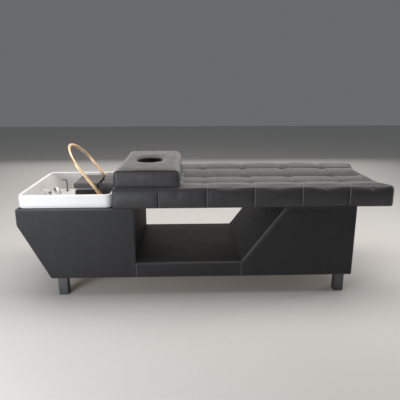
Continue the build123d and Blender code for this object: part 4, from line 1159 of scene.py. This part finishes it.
@dataclass
class FacePillow:
    """Boxed face pillow with an oval breathing hole and welts round its end panels."""

    finishes: Finishes
    corner: float = 0.009
    shoulder: float = 0.023
    crown: float = 0.009
    hole: Pair = (0.0745, 0.088)
    hole_shift: Pair = (0.007, 0.010)
    hole_base: Pair = (0.0752, 0.0835)
    base_shift: Pair = (0.0060, 0.0)
    hole_lip: float = 0.010
    hole_dish: float = 0.004
    bulge: float = 0.006
    welt: float = 0.0032
    welt_inset: float = 0.0025
    welt_lift: Pair = (0.0012, -0.0030)
    lip_welt: float = 0.0019
    cap: float = 0.004
    slack: float = 0.004
    top_shares: tuple[float, ...] = (
        0, 0.012, 0.03, 0.06, 0.1, 0.16, 0.24, 0.33, 0.43, 0.53, 0.63, 0.73, 0.81, 0.88, 0.93, 0.965, 0.985, 1
    )
    side_shares: tuple[float, ...] = (0.92, 0.8, 0.66, 0.52, 0.38, 0.24, 0.1, 0.0)
    under_shares: tuple[float, ...] = (0.96, 0.85, 0.6, 0.3, 0.1, 0.01, 0.0)
    wall_shares: tuple[float, ...] = (0.01, 0.1, 0.16, 0.3, 0.5, 0.7, 0.88)
    low: Vector = field(init=False)
    high: Vector = field(init=False)
    side_top: float = field(init=False)

    def __post_init__(self) -> None:
        """Take the pillow's place from the CAD box."""
        self.low, self.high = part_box("face_pillow")
        self.side_top = self.high.z - self.crown

    @property
    def centre(self) -> Pair:
        """Middle of the pillow seen from above."""
        return (self.low.x + self.high.x) / 2, (self.low.y + self.high.y) / 2

    @property
    def half(self) -> Pair:
        """Half the pillow's size along X and Y."""
        return (self.high.x - self.low.x) / 2, (self.high.y - self.low.y) / 2

    @property
    def hole_centre(self) -> Pair:
        """Middle of the breathing hole seen from above."""
        return self.centre[0] - self.hole_shift[0], self.centre[1] - self.hole_shift[1]

    def hole_reach(self, x: Array, y: Array) -> Array:
        """How far a place lies from the middle of the hole, with 1 at its edge."""
        hx, hy = self.hole_centre
        return np.hypot((x - hx) / self.hole[0], (y - hy) / self.hole[1])

    def top_height(self, x: Array, y: Array) -> Array:
        """Height of the top at each place, rounded down towards its two long edges and its hole."""
        half_x, half_y = self.half
        u, v = (x - self.centre[0]) / half_x, (y - self.centre[1]) / half_y
        height = self.side_top + self.crown * np.clip((1 - u**4) * (1 - v**4), 0, 1) ** 0.7
        edge = np.clip(self.shoulder - (half_x - np.abs(x - self.centre[0])), 0, self.shoulder)
        height -= self.shoulder - np.sqrt(self.shoulder**2 - edge**2)
        reach = self.hole_reach(x, y)
        lip = np.clip(self.hole_lip - (reach - 1) * self.hole[0], 0, self.hole_lip)
        height -= self.hole_lip - np.sqrt(self.hole_lip**2 - lip**2)
        return height - self.hole_dish * bell(reach - 1, 0.5)

    def cover(self) -> Piece:
        """The closed cover, in rings from the hole over the top, down the sides and back up the hole."""
        half, centre = np.array(self.half), np.array(self.centre)
        outer = rounded_outline(self.centre, self.half, self.corner, arc=4, run=36)
        middle = np.array(self.hole_centre)
        angles = np.arctan2((outer[:, 1] - middle[1]) / half[1], (outer[:, 0] - middle[0]) / half[0])
        ray = np.stack([np.cos(angles), np.sin(angles)], 1)
        inner = middle + np.array(self.hole) * ray
        base = centre - np.array(self.base_shift) + np.array(self.hole_base) * ray
        rings = []
        for share in self.top_shares:
            flat = inner + share * (outer - inner)
            rings.append(np.column_stack([flat, self.top_height(flat[:, 0], flat[:, 1])]))
        lip, rim = rings[0][:, 2], rings[-1][:, 2]
        away = outer - centre
        push = np.sign(away) * (half - np.abs(away) < 0.002)
        taper = np.clip(1 - (np.abs(away) / half).min(axis=1) ** 4, 0, 1)
        for share in self.side_shares:
            swell = self.bulge * math.sin(math.pi * share)
            height = self.low.z + share * (rim - self.low.z)
            rings.append(np.column_stack([outer + push * (swell * taper)[:, None], height]))
        for share in self.under_shares:
            flat = base + share * (outer - base)
            rings.append(np.column_stack([flat, np.full(len(flat), self.low.z)]))
        for share in self.wall_shares:
            narrow = base + share**1.7 * (inner - base) - 0.001 * math.sin(math.pi * share) * ray
            rings.append(np.column_stack([narrow, self.low.z + share * (lip - self.low.z)]))
        return make_piece("pillow_cover", ring_surface(rings, closed=True), self.finishes.quilted)

    def held(self, piece: Piece) -> Array:
        """How firmly each vertex of the cover is sewn down."""
        x, y, z = places_of(piece).T
        firm = 1 - smooth_step(z - self.low.z, 0.001, 0.01)
        edge = bell(np.abs(y) - self.high.y, 0.003) * bell(z - self.top_height(x, y), 0.003)
        reach = self.hole_reach(x, y)
        firm = np.maximum(np.maximum(firm, edge), 0.9 * (reach < 1.02))
        return np.maximum(firm, (reach < 1.2) & (z < self.low.z + 0.02))

    def end_loop(self, side: Side, tree: BVHTree) -> Array:
        """Line of the welt round one end panel, laid on the cover.

        Args:
            side: the pillow's end.
            tree: the cover's faces.

        Returns:
            The points of the closed line.
        """
        y = side.value * (self.high.y - self.welt_inset)
        middle = (self.centre[0], (self.low.z + self.side_top) / 2)
        half = (self.half[0], (self.side_top - self.low.z) / 2)
        lift = self.welt_lift[0] if side is Side.FRONT else self.welt_lift[1]
        points = []
        for x, z in rounded_outline(middle, half, 0.02, arc=8, run=16):
            away = Vector((x - middle[0], 0.0, z - middle[1]))
            start = Vector((middle[0], y, middle[1])) + 2 * away
            hit = tree.ray_cast(start, -away.normalized())[0]
            if hit is not None:
                points.append(tuple(hit + lift * away.normalized()))
        return np.array(points)

    def build(self) -> None:
        """Make, blow up and dress the pillow and its welts."""
        piece = self.cover()
        inflate(piece, self.held(piece), self.cap, slack=self.slack)
        subdivided(piece)
        places, normals = places_of(piece), normals_of(piece)
        slump = 0.0009 * wander(places, 14.0, 21.0) + 0.0005 * wander(places, 45.0, 5.0)
        slump *= places[:, 2] > self.low.z + 0.004
        set_places(piece, places + normals * slump[:, None])
        # Painted highlight on the rounded shoulders high up along the pillow's two long edges.
        half_x = self.half[0]
        bent = smooth_step(np.abs(places[:, 0] - self.centre[0]), half_x - 0.020, half_x - 0.004)
        high_up = smooth_step(places[:, 2], self.side_top - 0.050, self.side_top - 0.012)
        paint_highlight(piece, 0.45 * bent * high_up)
        settle(piece, "face_pillow", ["face_pillow"])
        tree = surface_tree(piece)
        loops = [tube(self.end_loop(side, tree), self.welt, closed=True) for side in Side]
        angles = np.arange(72) * 2 * math.pi / 72
        ray = np.stack([np.cos(angles), np.sin(angles)], 1)
        ring = np.array(self.hole_centre) + 1.005 * np.array(self.hole) * ray
        lip = np.column_stack([ring, self.top_height(ring[:, 0], ring[:, 1]) + 0.0006])
        loops.append(tube(lip, self.lip_welt, closed=True))
        welts = make_piece("pillow_welts", merged(loops), self.finishes.welt)
        settle(welts, "face_pillow")


@dataclass
class CoverPanel:
    """Upholstered board on a long side of the base, whose left and right edges depend on the height."""

    name: str
    left: Callable[[float], float]
    right: Callable[[float], float]
    bottom: float
    top: float
    node: str
    side: Side
    left_round: Callable[[float], float]
    right_round: Callable[[float], float]
    top_round: float
    bottom_round: float = 0.008
    face: float = 0.3455
    back: float = 0.327
    plump: float = 0.0014
    inset: float = 0.0008
    sharp: float = 0.0001
    border: tuple[float, ...] = (0.0, 0.0008, 0.0020, 0.0036, 0.0056, 0.0080, 0.0110, 0.0160, 0.0240, 0.036)
    middle_cells: int = 14
    # Painted highlight along the sewn seams, as a share.
    seam_highlight: float = 0.0
    breaks: tuple[float, ...] = ()

    def face_row(self, z: float) -> Array:
        """Points of the padded face at one height, rounded towards the panel's four edges."""
        left, right = self.left(z), self.right(z)
        border = np.array(self.border)
        inner = np.linspace(0, 1, self.middle_cells + 1)[1:-1]
        middle = left + border[-1] + inner * (right - left - 2 * border[-1])
        xs = np.concatenate([left + border, middle, right - border[::-1]])
        edges = (
            (xs - left, self.left_round(z)),
            (right - xs, self.right_round(z)),
            (np.full(len(xs), z - self.bottom), self.bottom_round),
            (np.full(len(xs), self.top - z), self.top_round),
        )
        excess = np.zeros(len(xs))
        radius = np.full(len(xs), self.sharp)
        for gap, size in edges:
            over = np.clip(size - gap, 0, size)
            excess = np.hypot(excess, over)
            radius = np.where(over > 0, np.maximum(radius, size), radius)
        depth = radius - np.sqrt(np.maximum(radius**2 - np.minimum(excess, radius) ** 2, 0))
        nearest = np.minimum.reduce([gap for gap, _ in edges])
        y = self.face - depth - self.inset + self.plump * smooth_step(nearest, 0.0, 0.06)
        return np.column_stack([xs, self.side.value * y, np.full(len(xs), z)])

    def build(self, finishes: Finishes) -> Piece:
        """Make the panel as a height field over its outline, closed at its back.

        Args:
            finishes: the bed's materials.

        Returns:
            The piece, dressed.
        """
        heights = graded([self.bottom, *self.breaks, self.top], 0.0012, 0.022, 1.6)
        face_rows = [self.face_row(z) for z in heights]
        back_rows = [row.copy() for row in face_rows]
        for row in back_rows:
            row[:, 1] = self.side.value * self.back
        rows, columns = len(face_rows), len(face_rows[0])
        places = np.concatenate(face_rows + back_rows)
        faces: Faces = []
        for r in range(rows - 1):
            for c in range(columns - 1):
                a = r * columns + c
                faces.append((a, a + 1, a + columns + 1, a + columns))
        shift = rows * columns
        rim = list(range(columns))
        rim += [r * columns + columns - 1 for r in range(1, rows)]
        rim += [(rows - 1) * columns + c for c in range(columns - 2, -1, -1)]
        rim += [r * columns for r in range(rows - 2, 0, -1)]
        for a, b in zip(rim, rim[1:] + rim[:1]):
            faces.append((a, b, b + shift, a + shift))
        faces.append(tuple(v + shift for v in reversed(rim)))
        piece = make_piece(self.name, (places, faces), finishes.panel)
        # Painted highlight on the rounded edges of the face, and along the seams beside the left and right
        # edges as strong as the seam share.
        x, y, z = places_of(piece).T
        rounded = smooth_step(self.face - np.abs(y), 0.0005, 0.005) * (np.abs(y) > self.back + 0.004)
        near = np.array([min(a - self.left(h), self.right(h) - a) for a, h in zip(x, z)])
        paint_highlight(piece, np.maximum(0.75 * rounded, self.seam_highlight * bell(near - 0.0015, 0.0024)))
        return settle(piece, "bed", [self.node])


@dataclass
class BaseCabinet:
    """Leather covered base: six side panels, two ends, the niche's boards and rows of stitches."""

    finishes: Finishes
    trims: Trims
    seam_round: float = 0.0028
    edge_round: float = 0.011
    shelf_round: float = 0.007
    stitch: Triple = (0.0062, 0.0022, 0.0006)
    board_round: float = 0.004
    bend_height: float = 0.404
    bend_blend: float = 0.020
    bend_fade: float = 0.02
    toe: float = -0.845
    slant_run: float = 0.426 - 0.192
    slant_rise: float = 0.490 - 0.182
    panel_round: float = 0.009
    round_blend: float = 0.012
    stitch_face: float = 0.3463
    seam_offset: float = 0.007
    slant_offset: float = 0.0165
    upright_offset: float = 0.0135
    stitch_end: float = 0.010

    def head_edge(self, z: float) -> float:
        """X of the head end at a height: upright, then bent into the slant."""
        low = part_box("head_end_panel")[0]
        slope = (self.toe - low.x) / (self.bend_height - low.z)
        gap = self.bend_height - z
        soft = 0.5 * (gap + math.sqrt(gap * gap + self.bend_blend**2))
        soft -= 0.5 * self.bend_blend * math.exp(-abs(gap) / self.bend_fade)
        return low.x + slope * max(0.0, soft)

    def slant_edge(self, z: float) -> float:
        """X of the foot panel's edge at the niche."""
        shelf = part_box("niche_shelf")[1].z
        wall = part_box("niche_slant_wall")[0].x
        panel_low, panel_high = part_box("foot_front_panel")
        share = max(0.0, (z - shelf) / (panel_high.z - shelf))
        edge_top = wall + (panel_high.z - shelf) * self.slant_run / self.slant_rise
        return panel_low.x + share * (edge_top - wall)

    def side_panels(self, side: Side) -> None:
        """The head panel, plinth rail and foot panel of one side."""
        word = side.name.lower()
        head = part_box(f"head_{word}_panel")
        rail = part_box(f"plinth_{word}_rail")
        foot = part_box(f"foot_{word}_panel")
        shelf = rail[1].z

        def niche_round(z: float) -> float:
            """Edge radius beside the niche: a sewn seam below its floor, a padded edge above."""
            share = min(1.0, max(0.0, (z - shelf) / self.round_blend))
            return self.seam_round + share * (self.edge_round - self.seam_round)

        def soft(z: float) -> float:
            """Radius of a padded edge, the same at every height."""
            return self.edge_round

        def sewn(z: float) -> float:
            """Radius of a sewn edge, the same at every height."""
            return self.seam_round

        panels = [
            CoverPanel(
                f"base_head_{word}", self.head_edge, lambda z: head[1].x, head[0].z, head[1].z,
                f"head_{word}_panel", side, soft, niche_round, self.panel_round, breaks=(shelf, 0.36, 0.43),
            ),
            CoverPanel(
                f"base_plinth_{word}", lambda z: rail[0].x, lambda z: rail[1].x, rail[0].z, shelf,
                f"plinth_{word}_rail", side, sewn, sewn, self.shelf_round, seam_highlight=0.9,
            ),
            CoverPanel(
                f"base_foot_{word}", self.slant_edge, lambda z: foot[1].x, foot[0].z, foot[1].z,
                f"foot_{word}_panel", side, niche_round, soft, self.panel_round, breaks=(shelf,),
            ),
        ]
        for panel in panels:
            panel.build(self.finishes)

    def seam_stitches(self) -> None:
        """Rows of stitches beside the seams of the front and rear."""
        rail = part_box("plinth_front_rail")
        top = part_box("foot_front_panel")[1].z
        lines = []
        lower = np.linspace(rail[0].z + 0.008, rail[1].z, 10)
        upright = np.linspace(rail[1].z, top - self.stitch_end, 32)
        sloping = np.linspace(rail[1].z, top - self.stitch_end, 40)
        for side in Side:
            face = side.value * self.stitch_face
            for x in (rail[0].x - self.seam_offset, rail[1].x + self.seam_offset):
                lines.append(np.array([(x, face, z) for z in lower]))
            slant = [(self.slant_edge(z) + self.slant_offset, face, z) for z in sloping]
            lines.append(np.array(slant))
            lines.append(np.array([(rail[0].x - self.upright_offset, face, z) for z in upright]))
        piece = self.trims.run("base_stitches", lines, Trim.STITCH, self.stitch, self.finishes.thread)
        settle(piece, "bed")

    def board(self, node: str, finish: Material) -> None:
        """An end or niche board under its leather: the CAD solid with its edges rounded.

        Args:
            node: the CAD node.
            finish: its leather.
        """
        piece = copy_of(node, f"cover_{node}", finish)
        work = bmesh.new()
        work.from_mesh(piece.data)
        bmesh.ops.dissolve_limit(work, angle_limit=0.02, verts=work.verts, edges=work.edges)
        work.to_mesh(piece.data)
        work.free()
        bevel = piece.modifiers.new("Edge", "BEVEL")
        bevel.width = self.board_round
        bevel.segments = 3
        bevel.limit_method = "ANGLE"
        bevel.angle_limit = math.radians(25)
        bevel.harden_normals = True
        applied(piece)
        settle(piece, "bed", [node])

    def build(self) -> None:
        """Make the panels, the boards and the seams."""
        for side in Side:
            self.side_panels(side)
        for node in ("head_end_panel", "foot_end_panel"):
            self.board(node, self.finishes.panel)
        for node in ("niche_head_wall", "niche_slant_wall", "niche_shelf"):
            self.board(node, self.finishes.niche)
        self.seam_stitches()


def quarter(first: int = 0, steps: int = 6) -> list[Triple]:
    """Share, sine and cosine at the steps of a quarter turn.

    Args:
        first: the first step that is wanted.
        steps: how many steps the quarter turn has.

    Returns:
        One row for each step.
    """
    turns = [(step / steps, step / steps * math.pi / 2) for step in range(first, steps + 1)]
    return [(share, math.sin(angle), math.cos(angle)) for share, angle in turns]


@dataclass
class WashBasin:
    """Glossy basin: rolled rim, drafted walls, a recessed ledge and a deep bowl with its drain."""

    finishes: Finishes
    corner: float = 0.044
    rim_width: float = 0.020
    rim_round: float = 0.009
    rim_inner: float = 0.008
    draft: float = 0.025
    ledge_depth: float = 0.114
    ledge_corner: float = 0.032
    ledge_cove: float = 0.016
    bowl_centre: float = -0.698
    bowl_half: Pair = (0.100, 0.190)
    bowl_depth: float = 0.112
    bowl_draft: float = 0.022
    bowl_corner: float = 0.060
    bowl_lip: float = 0.010
    bowl_cove: float = 0.030
    wall: float = 0.007
    skirt_wall: float = 0.006
    drain: float = 0.0265
    # Painted shade inside the basin: how far in it starts, its share at the front, and where it rises to full
    # at the rear.
    shade_edge: Pair = (0.013, 0.021)
    shade_front: float = 0.62
    shade_rear: Pair = (0.20, 0.28)

    def build(self) -> None:
        """Loft the shell from the skirt over the rim down to the drain, and back along its underside."""
        low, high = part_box("basin")
        rim_z, skirt_z = high.z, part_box("basin_deck")[1].z
        centre = ((low.x + high.x) / 2, 0.0)
        half = ((high.x - low.x) / 2, (high.y - low.y) / 2)
        ledge_z = rim_z - self.ledge_depth
        floor_z = ledge_z - self.bowl_depth
        rings = []

        def add(middle: Pair, size: Pair, radius: float, z: float) -> None:
            """Add a rounded rectangle at a height."""
            outline = rounded_outline(middle, size, radius, arc=14, run=8)
            rings.append(np.column_stack([outline, np.full(len(outline), z)]))

        def ring(inset: float, z: float, corner: float | None = None) -> None:
            """Add a ring of the outer shell, a given distance inside the skirt."""
            radius = corner if corner is not None else max(0.02, self.corner - inset)
            add(centre, (half[0] - inset, half[1] - inset), radius, z)

        def bowl_ring(inset: float, z: float, corner: float) -> None:
            """Add a ring of the bowl, a given distance inside its mouth."""
            size = (self.bowl_half[0] - inset, self.bowl_half[1] - inset)
            add((self.bowl_centre, 0.0), size, corner, z)

        def drain_ring(size: Pair, z: float) -> None:
            """Add a nearly round ring about the drain."""
            add((self.bowl_centre, 0.0), size, min(size) - 0.0005, z)

        def wall_inset(z: float) -> float:
            """Distance from the skirt to the drafted inner wall."""
            return self.rim_width + self.draft * (rim_z - z) / self.ledge_depth

        for inset, rise in ((0.004, 0.0), (0.001, 0.002), (0.0, 0.006), (0.0, 0.030)):
            ring(inset, skirt_z + rise)
        ring(0.0, rim_z - self.rim_round - 0.004)
        for _, sine, cosine in quarter():
            ring(self.rim_round * (1 - cosine), rim_z - self.rim_round * (1 - sine))
        edge = self.rim_width - self.rim_inner
        for _, sine, cosine in quarter(1):
            ring(edge + self.rim_inner * sine, rim_z - self.rim_inner * (1 - cosine))
        cove = self.ledge_cove
        widening = self.ledge_corner - self.corner + self.rim_width
        for share in (0.25, 0.5, 0.75, 1.0):
            z = rim_z - self.rim_inner - share * (self.ledge_depth - self.rim_inner - cove)
            ring(wall_inset(z), z, self.corner - self.rim_width + share * widening)
        start = wall_inset(ledge_z + cove)
        for share, sine, cosine in quarter(1):
            corner = self.ledge_corner - 0.6 * cove * share
            ring(start + cove * (1 - cosine), ledge_z + cove * (1 - sine), corner)
        lip = self.bowl_lip
        for _, sine, cosine in quarter():
            bowl_ring(-lip + lip * sine, ledge_z - lip * (1 - cosine), self.bowl_corner + lip)
        cove = self.bowl_cove
        for share in (0.35, 0.7, 1.0):
            z = ledge_z - lip - share * (self.bowl_depth - lip - cove)
            bowl_ring(self.bowl_draft * (ledge_z - z) / self.bowl_depth, z, self.bowl_corner)
        start = self.bowl_draft * (self.bowl_depth - cove) / self.bowl_depth
        for share, sine, cosine in quarter(1):
            z = floor_z + 0.004 + cove * (1 - sine)
            bowl_ring(start + cove * (1 - cosine), z, self.bowl_corner - 0.02 * share)
        drain_ring((0.040, 0.060), floor_z + 0.0005)
        drain_ring((self.drain + 0.013, self.drain + 0.013), floor_z + 0.0005)
        drain_ring((self.drain, self.drain), floor_z)
        drain_ring((self.drain, self.drain), floor_z - self.wall)
        bowl_ring(self.bowl_draft + 0.012 - self.wall, floor_z - self.wall + 0.001, self.bowl_corner - 0.01)
        bowl_ring(self.bowl_draft - self.wall, floor_z + 0.012, self.bowl_corner)
        bowl_ring(-self.wall, ledge_z - self.wall, self.bowl_corner + self.wall)
        ring(wall_inset(ledge_z) - self.wall, ledge_z - self.wall, self.ledge_corner + self.wall)
        under_z = rim_z - self.wall - 0.004
        ring(self.rim_width + 0.002 - self.wall, under_z, self.corner - self.rim_width + self.wall)
        ring(self.skirt_wall, under_z)
        ring(self.skirt_wall, skirt_z)
        piece = make_piece("basin_shell", ring_surface(rings, closed=True), self.finishes.white)
        # Painted shade: the inside of the basin is made greyer, fully at the rear wall and less towards the
        # front.
        x, y, z = places_of(piece).T
        depth = np.minimum(half[0] - np.abs(x - centre[0]), half[1] - np.abs(y))
        rear = smooth_step(y, *self.shade_rear)
        basin_shade = smooth_step(depth, *self.shade_edge) * (self.shade_front + (1 - self.shade_front) * rear)
        attribute = piece.data.attributes.new("basin_shade", "FLOAT", "POINT")
        attribute.data.foreach_set("value", basin_shade.astype(np.float32))
        settle(piece, "bed", ["basin", "basin_bowl"])


@dataclass
class SprayArch:
    """Bent gold tube over the head, with a row of nozzles along its inner side."""

    finishes: Finishes
    trims: Trims
    tilt: float = 53.8
    half_width: float = 0.163
    tube_radius: float = 0.008
    leg: float = 0.209
    rise: float = 0.137
    shoulder: float = 0.110
    pivot: Triple = (-0.569, 0.0, 0.501)
    tube_start: float = 0.028
    tube_sides: int = 24
    leg_points: int = 12
    bend_steps: int = 24
    nozzle: Triple = (0.011, 0.0016, 0.0016)
    nozzle_sink: float = 0.0004
    bare_points: int = 8

    def line(self, inset: float = 0.0) -> Array:
        """Middle line of the tube, or a line a given distance inside it, in the arch's own plane."""
        reach = self.half_width - self.shoulder
        crown = (self.rise**2 + reach**2 - self.shoulder**2) / (2 * (self.rise - self.shoulder))
        turn = math.pi / 2 - math.atan2(reach, crown - self.rise)
        leg = np.linspace(self.tube_start, self.leg, self.leg_points)
        points = [(self.half_width - inset, t) for t in leg]
        for angle in np.linspace(0, turn, self.bend_steps + 1)[1:]:
            radius = self.shoulder - inset
            points.append((reach + radius * math.cos(angle), self.leg + radius * math.sin(angle)))
        other_leg = [(-a, b) for a, b in reversed(points)]
        middle = self.leg + self.rise - crown
        for angle in np.linspace(turn, math.pi - turn, self.bend_steps + 1)[1:-1]:
            points.append(((crown - inset) * math.cos(angle), middle + (crown - inset) * math.sin(angle)))
        return np.array(points + other_leg)

    def lifted(self, flat: Array) -> Array:
        """Points of the arch's plane in the frame."""
        tilt = math.radians(self.tilt)
        up = np.array([-math.cos(tilt), 0.0, math.sin(tilt)])
        across = np.array([0.0, 1.0, 0.0])
        return np.array(self.pivot) + flat[:, :1] * across + flat[:, 1:] * up

    def build(self) -> None:
        """Make the tube and its row of nozzles."""
        pipe = tube(self.lifted(self.line()), self.tube_radius, self.tube_sides)
        pipe = make_piece("arch_pipe", pipe, self.finishes.gold)
        settle(pipe, "arch", ["arch_tube"])
        inner = self.line(self.tube_radius - self.nozzle_sink)[self.bare_points : -self.bare_points]
        lines = [self.lifted(inner)]
        nozzles = self.trims.run("arch_nozzles", lines, Trim.BEAD, self.nozzle, self.finishes.black)
        settle(nozzles, "arch")


@dataclass
class HeadRest:
    """Dimpled head rest pad, and the dimpled saddle that carries the neck."""

    finishes: Finishes
    pitch: float = 0.0135
    dimple: float = 0.0042
    depth: float = 0.0026
    row_share: float = 0.866
    flat_from: float = 0.85
    voxel: float = 0.0022
    pad_cells: tuple[int, int, int] = (70, 118, 17)
    pad_rounds: Triple = (0.008, 0.007, 0.004)
    saddle_depth: float = 0.006
    saddle_width: float = 0.075
    neck_reach: float = 0.060

    def dimples(self, piece: Piece, base: float) -> None:
        """Press rows of dimples into a piece's sides and top.

        Args:
            piece: the fine mesh.
            base: height below which nothing is pressed in.
        """
        x, y, z = places_of(piece).T
        normals = normals_of(piece)
        top = normals[:, 2] > 0.75
        ends = np.abs(normals[:, 0]) > 0.75
        u = np.where(ends, y, x)
        v = np.where(top, y, z)
        row_pitch = self.pitch * self.row_share
        row = np.round(v / row_pitch)
        shift = np.where(row % 2 == 0, 0.0, 0.5 * self.pitch)
        du = (u - shift) / self.pitch
        gap = np.hypot((du - np.round(du)) * self.pitch, v - row * row_pitch)
        facing = np.maximum(np.abs(normals).max(1) - self.flat_from, 0) / (1 - self.flat_from)
        dent = self.depth * bell(gap, self.dimple) * facing * (z > base)
        set_places(piece, places_of(piece) - normals * dent[:, None])

    def pad(self) -> None:
        """The sliding pad: a rounded block with a shallow hollow for the head."""
        low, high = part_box("head_rest_pad")
        grid = [np.linspace(a, b, cells) for a, b, cells in zip(low, high, self.pad_cells)]
        places, faces = box_surface(*grid)
        places = round_box(places, np.array(low), np.array(high), *self.pad_rounds)
        piece = make_piece("rest_pad", (places, faces), self.finishes.rubber)
        close_underside(piece)
        facing_up = smooth_step(normals_of(piece)[:, 2], 0.3, 0.8)
        saddle = self.saddle_depth * bell(places_of(piece)[:, 1], self.saddle_width) * facing_up
        set_places(piece, places_of(piece) - np.outer(saddle, (0, 0, 1)))
        self.dimples(piece, low.z + 0.004)
        settle(piece, "head_rest_pad", ["head_rest_pad"])

    def neck(self) -> None:
        """The neck saddle, with soft edges."""
        piece = copy_of("neck_rest", "neck_saddle", self.finishes.rubber)
        skin = piece.modifiers.new("Skin", "REMESH")
        skin.mode = "VOXEL"
        skin.voxel_size = self.voxel
        soft = piece.modifiers.new("Soft", "SMOOTH")
        soft.factor = 0.5
        soft.iterations = 8
        applied(piece)
        piece.data.polygons.foreach_set("use_smooth", [True] * len(piece.data.polygons))
        self.dimples(piece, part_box("basin")[1].z - self.neck_reach)
        settle(piece, "bed", ["neck_rest"])

    def build(self) -> None:
        """Make the pad and the saddle."""
        self.pad()
        self.neck()


@dataclass(frozen=True)
class Lamp:
    """Rectangular soft light, aimed at a point."""

    name: str
    place: Triple
    target: Triple
    size: Pair
    power: float
    colour: Colour

    def build(self) -> None:
        """Hang the light."""
        data = bpy.data.lights.new(self.name, "AREA")
        data.shape = "RECTANGLE"
        data.size, data.size_y = self.size
        data.energy = self.power
        data.color = self.colour
        lamp = bpy.data.objects.new(self.name, data)
        lamp.location = self.place
        aim = Vector(self.target) - Vector(self.place)
        lamp.rotation_euler = aim.to_track_quat("-Z", "Y").to_euler()
        bpy.context.scene.collection.objects.link(lamp)


@dataclass(frozen=True)
class Studio:
    """Camera, floor and soft lights."""

    eye: Triple = (-0.0996, -2.5595, 1.1378)
    turn: Triple = (74.83, 0.08, -1.75)
    lens: float = 39.485
    sensor: float = 36.0
    floor_half: float = 9.0
    surround: Colour = (0.80, 0.81, 0.83)
    surround_power: float = 0.18
    warm: Colour = (1.0, 0.94, 0.89)

    def build(self) -> None:
        """Set the stage."""
        camera_data = bpy.data.cameras.new("camera")
        camera_data.lens = self.lens
        camera_data.sensor_width = self.sensor
        camera = bpy.data.objects.new("camera", camera_data)
        camera.location = self.eye
        camera.rotation_euler = [math.radians(angle) for angle in self.turn]
        bpy.context.scene.collection.objects.link(camera)
        bpy.context.scene.camera = camera
        self.floor()
        self.world()
        lamps = (
            Lamp("overhead", (0.25, 0.25, 2.7), (0.2, 0.0, 0.6), (4.8, 1.6), 90.0, self.warm),
            Lamp("key", (-1.75, -2.1, 0.60), (-0.5, 0.0, 0.42), (1.1, 0.5), 38.0, (0.95, 0.975, 1.0)),
            Lamp("rim", (3.2, 0.5, 0.75), (0.9, -0.1, 0.45), (0.5, 1.4), 16.0, (1.0, 0.97, 0.94)),
            Lamp("back_glow", (0.0, 3.4, 1.8), (0.0, 0.0, 0.6), (5.6, 2.8), 54.0, self.warm),
        )
        for lamp in lamps:
            lamp.build()
        bpy.context.scene.view_settings.view_transform = "Standard"

    def floor(self) -> None:
        """A plain pale floor."""
        half = self.floor_half
        corners = np.array([(-half, -half, 0.0), (half, -half, 0.0), (half, half, 0.0), (-half, half, 0.0)])
        pale = (0.62, 0.62, 0.61)
        finish = Plastic("studio_floor", pale, (0.66, 0.72), 240.0, 0.00001, (0.985, 1.0)).material()
        floor = make_piece("studio_floor", (corners, [(0, 1, 2, 3)]), finish, flat=True)

    def world(self) -> None:
        """A plain pale surround."""
        world = bpy.data.worlds.new("studio")
        world.use_nodes = True
        background = world.node_tree.nodes["Background"]
        background.inputs[0].default_value = (*self.surround, 1.0)
        background.inputs[1].default_value = self.surround_power
        bpy.context.scene.world = world


def dress_frame(finishes: Finishes) -> None:
    """Give every CAD node that stays its finish."""
    by_slot = {
        "black_leather": finishes.panel,
        "plywood": finishes.wood,
        "painted_steel": finishes.painted,
        "brushed_steel": finishes.steel,
        "zinc": finishes.zinc,
        "foot_plastic": finishes.foot,
        "white_gloss": finishes.white,
        "chrome": finishes.chrome,
        "gold": finishes.gold,
        "black_plastic": finishes.black,
        "black_rubber": finishes.rubber,
        "pipe_plastic": finishes.pipe,
    }
    slot_of = {row["node"]: row["material_slot"] for row in frame["record"]["subparts"]}
    for name, node in frame["nodes"].items():
        finish = finishes.gunmetal if name == "shower_hook" else by_slot[slot_of[name]]
        for place in node.material_slots:
            place.material = finish


def main() -> None:
    """Build the bed piece by piece."""
    logging.basicConfig(level=logging.INFO, format="%(message)s")
    Studio().build()
    finishes = Finishes()
    trims = Trims()
    dress_frame(finishes)
    BaseCabinet(finishes, trims).build()
    Mattress(finishes, trims).build()
    FacePillow(finishes).build()
    WashBasin(finishes).build()
    SprayArch(finishes, trims).build()
    HeadRest(finishes).build()


if __name__ == "__main__":
    main()
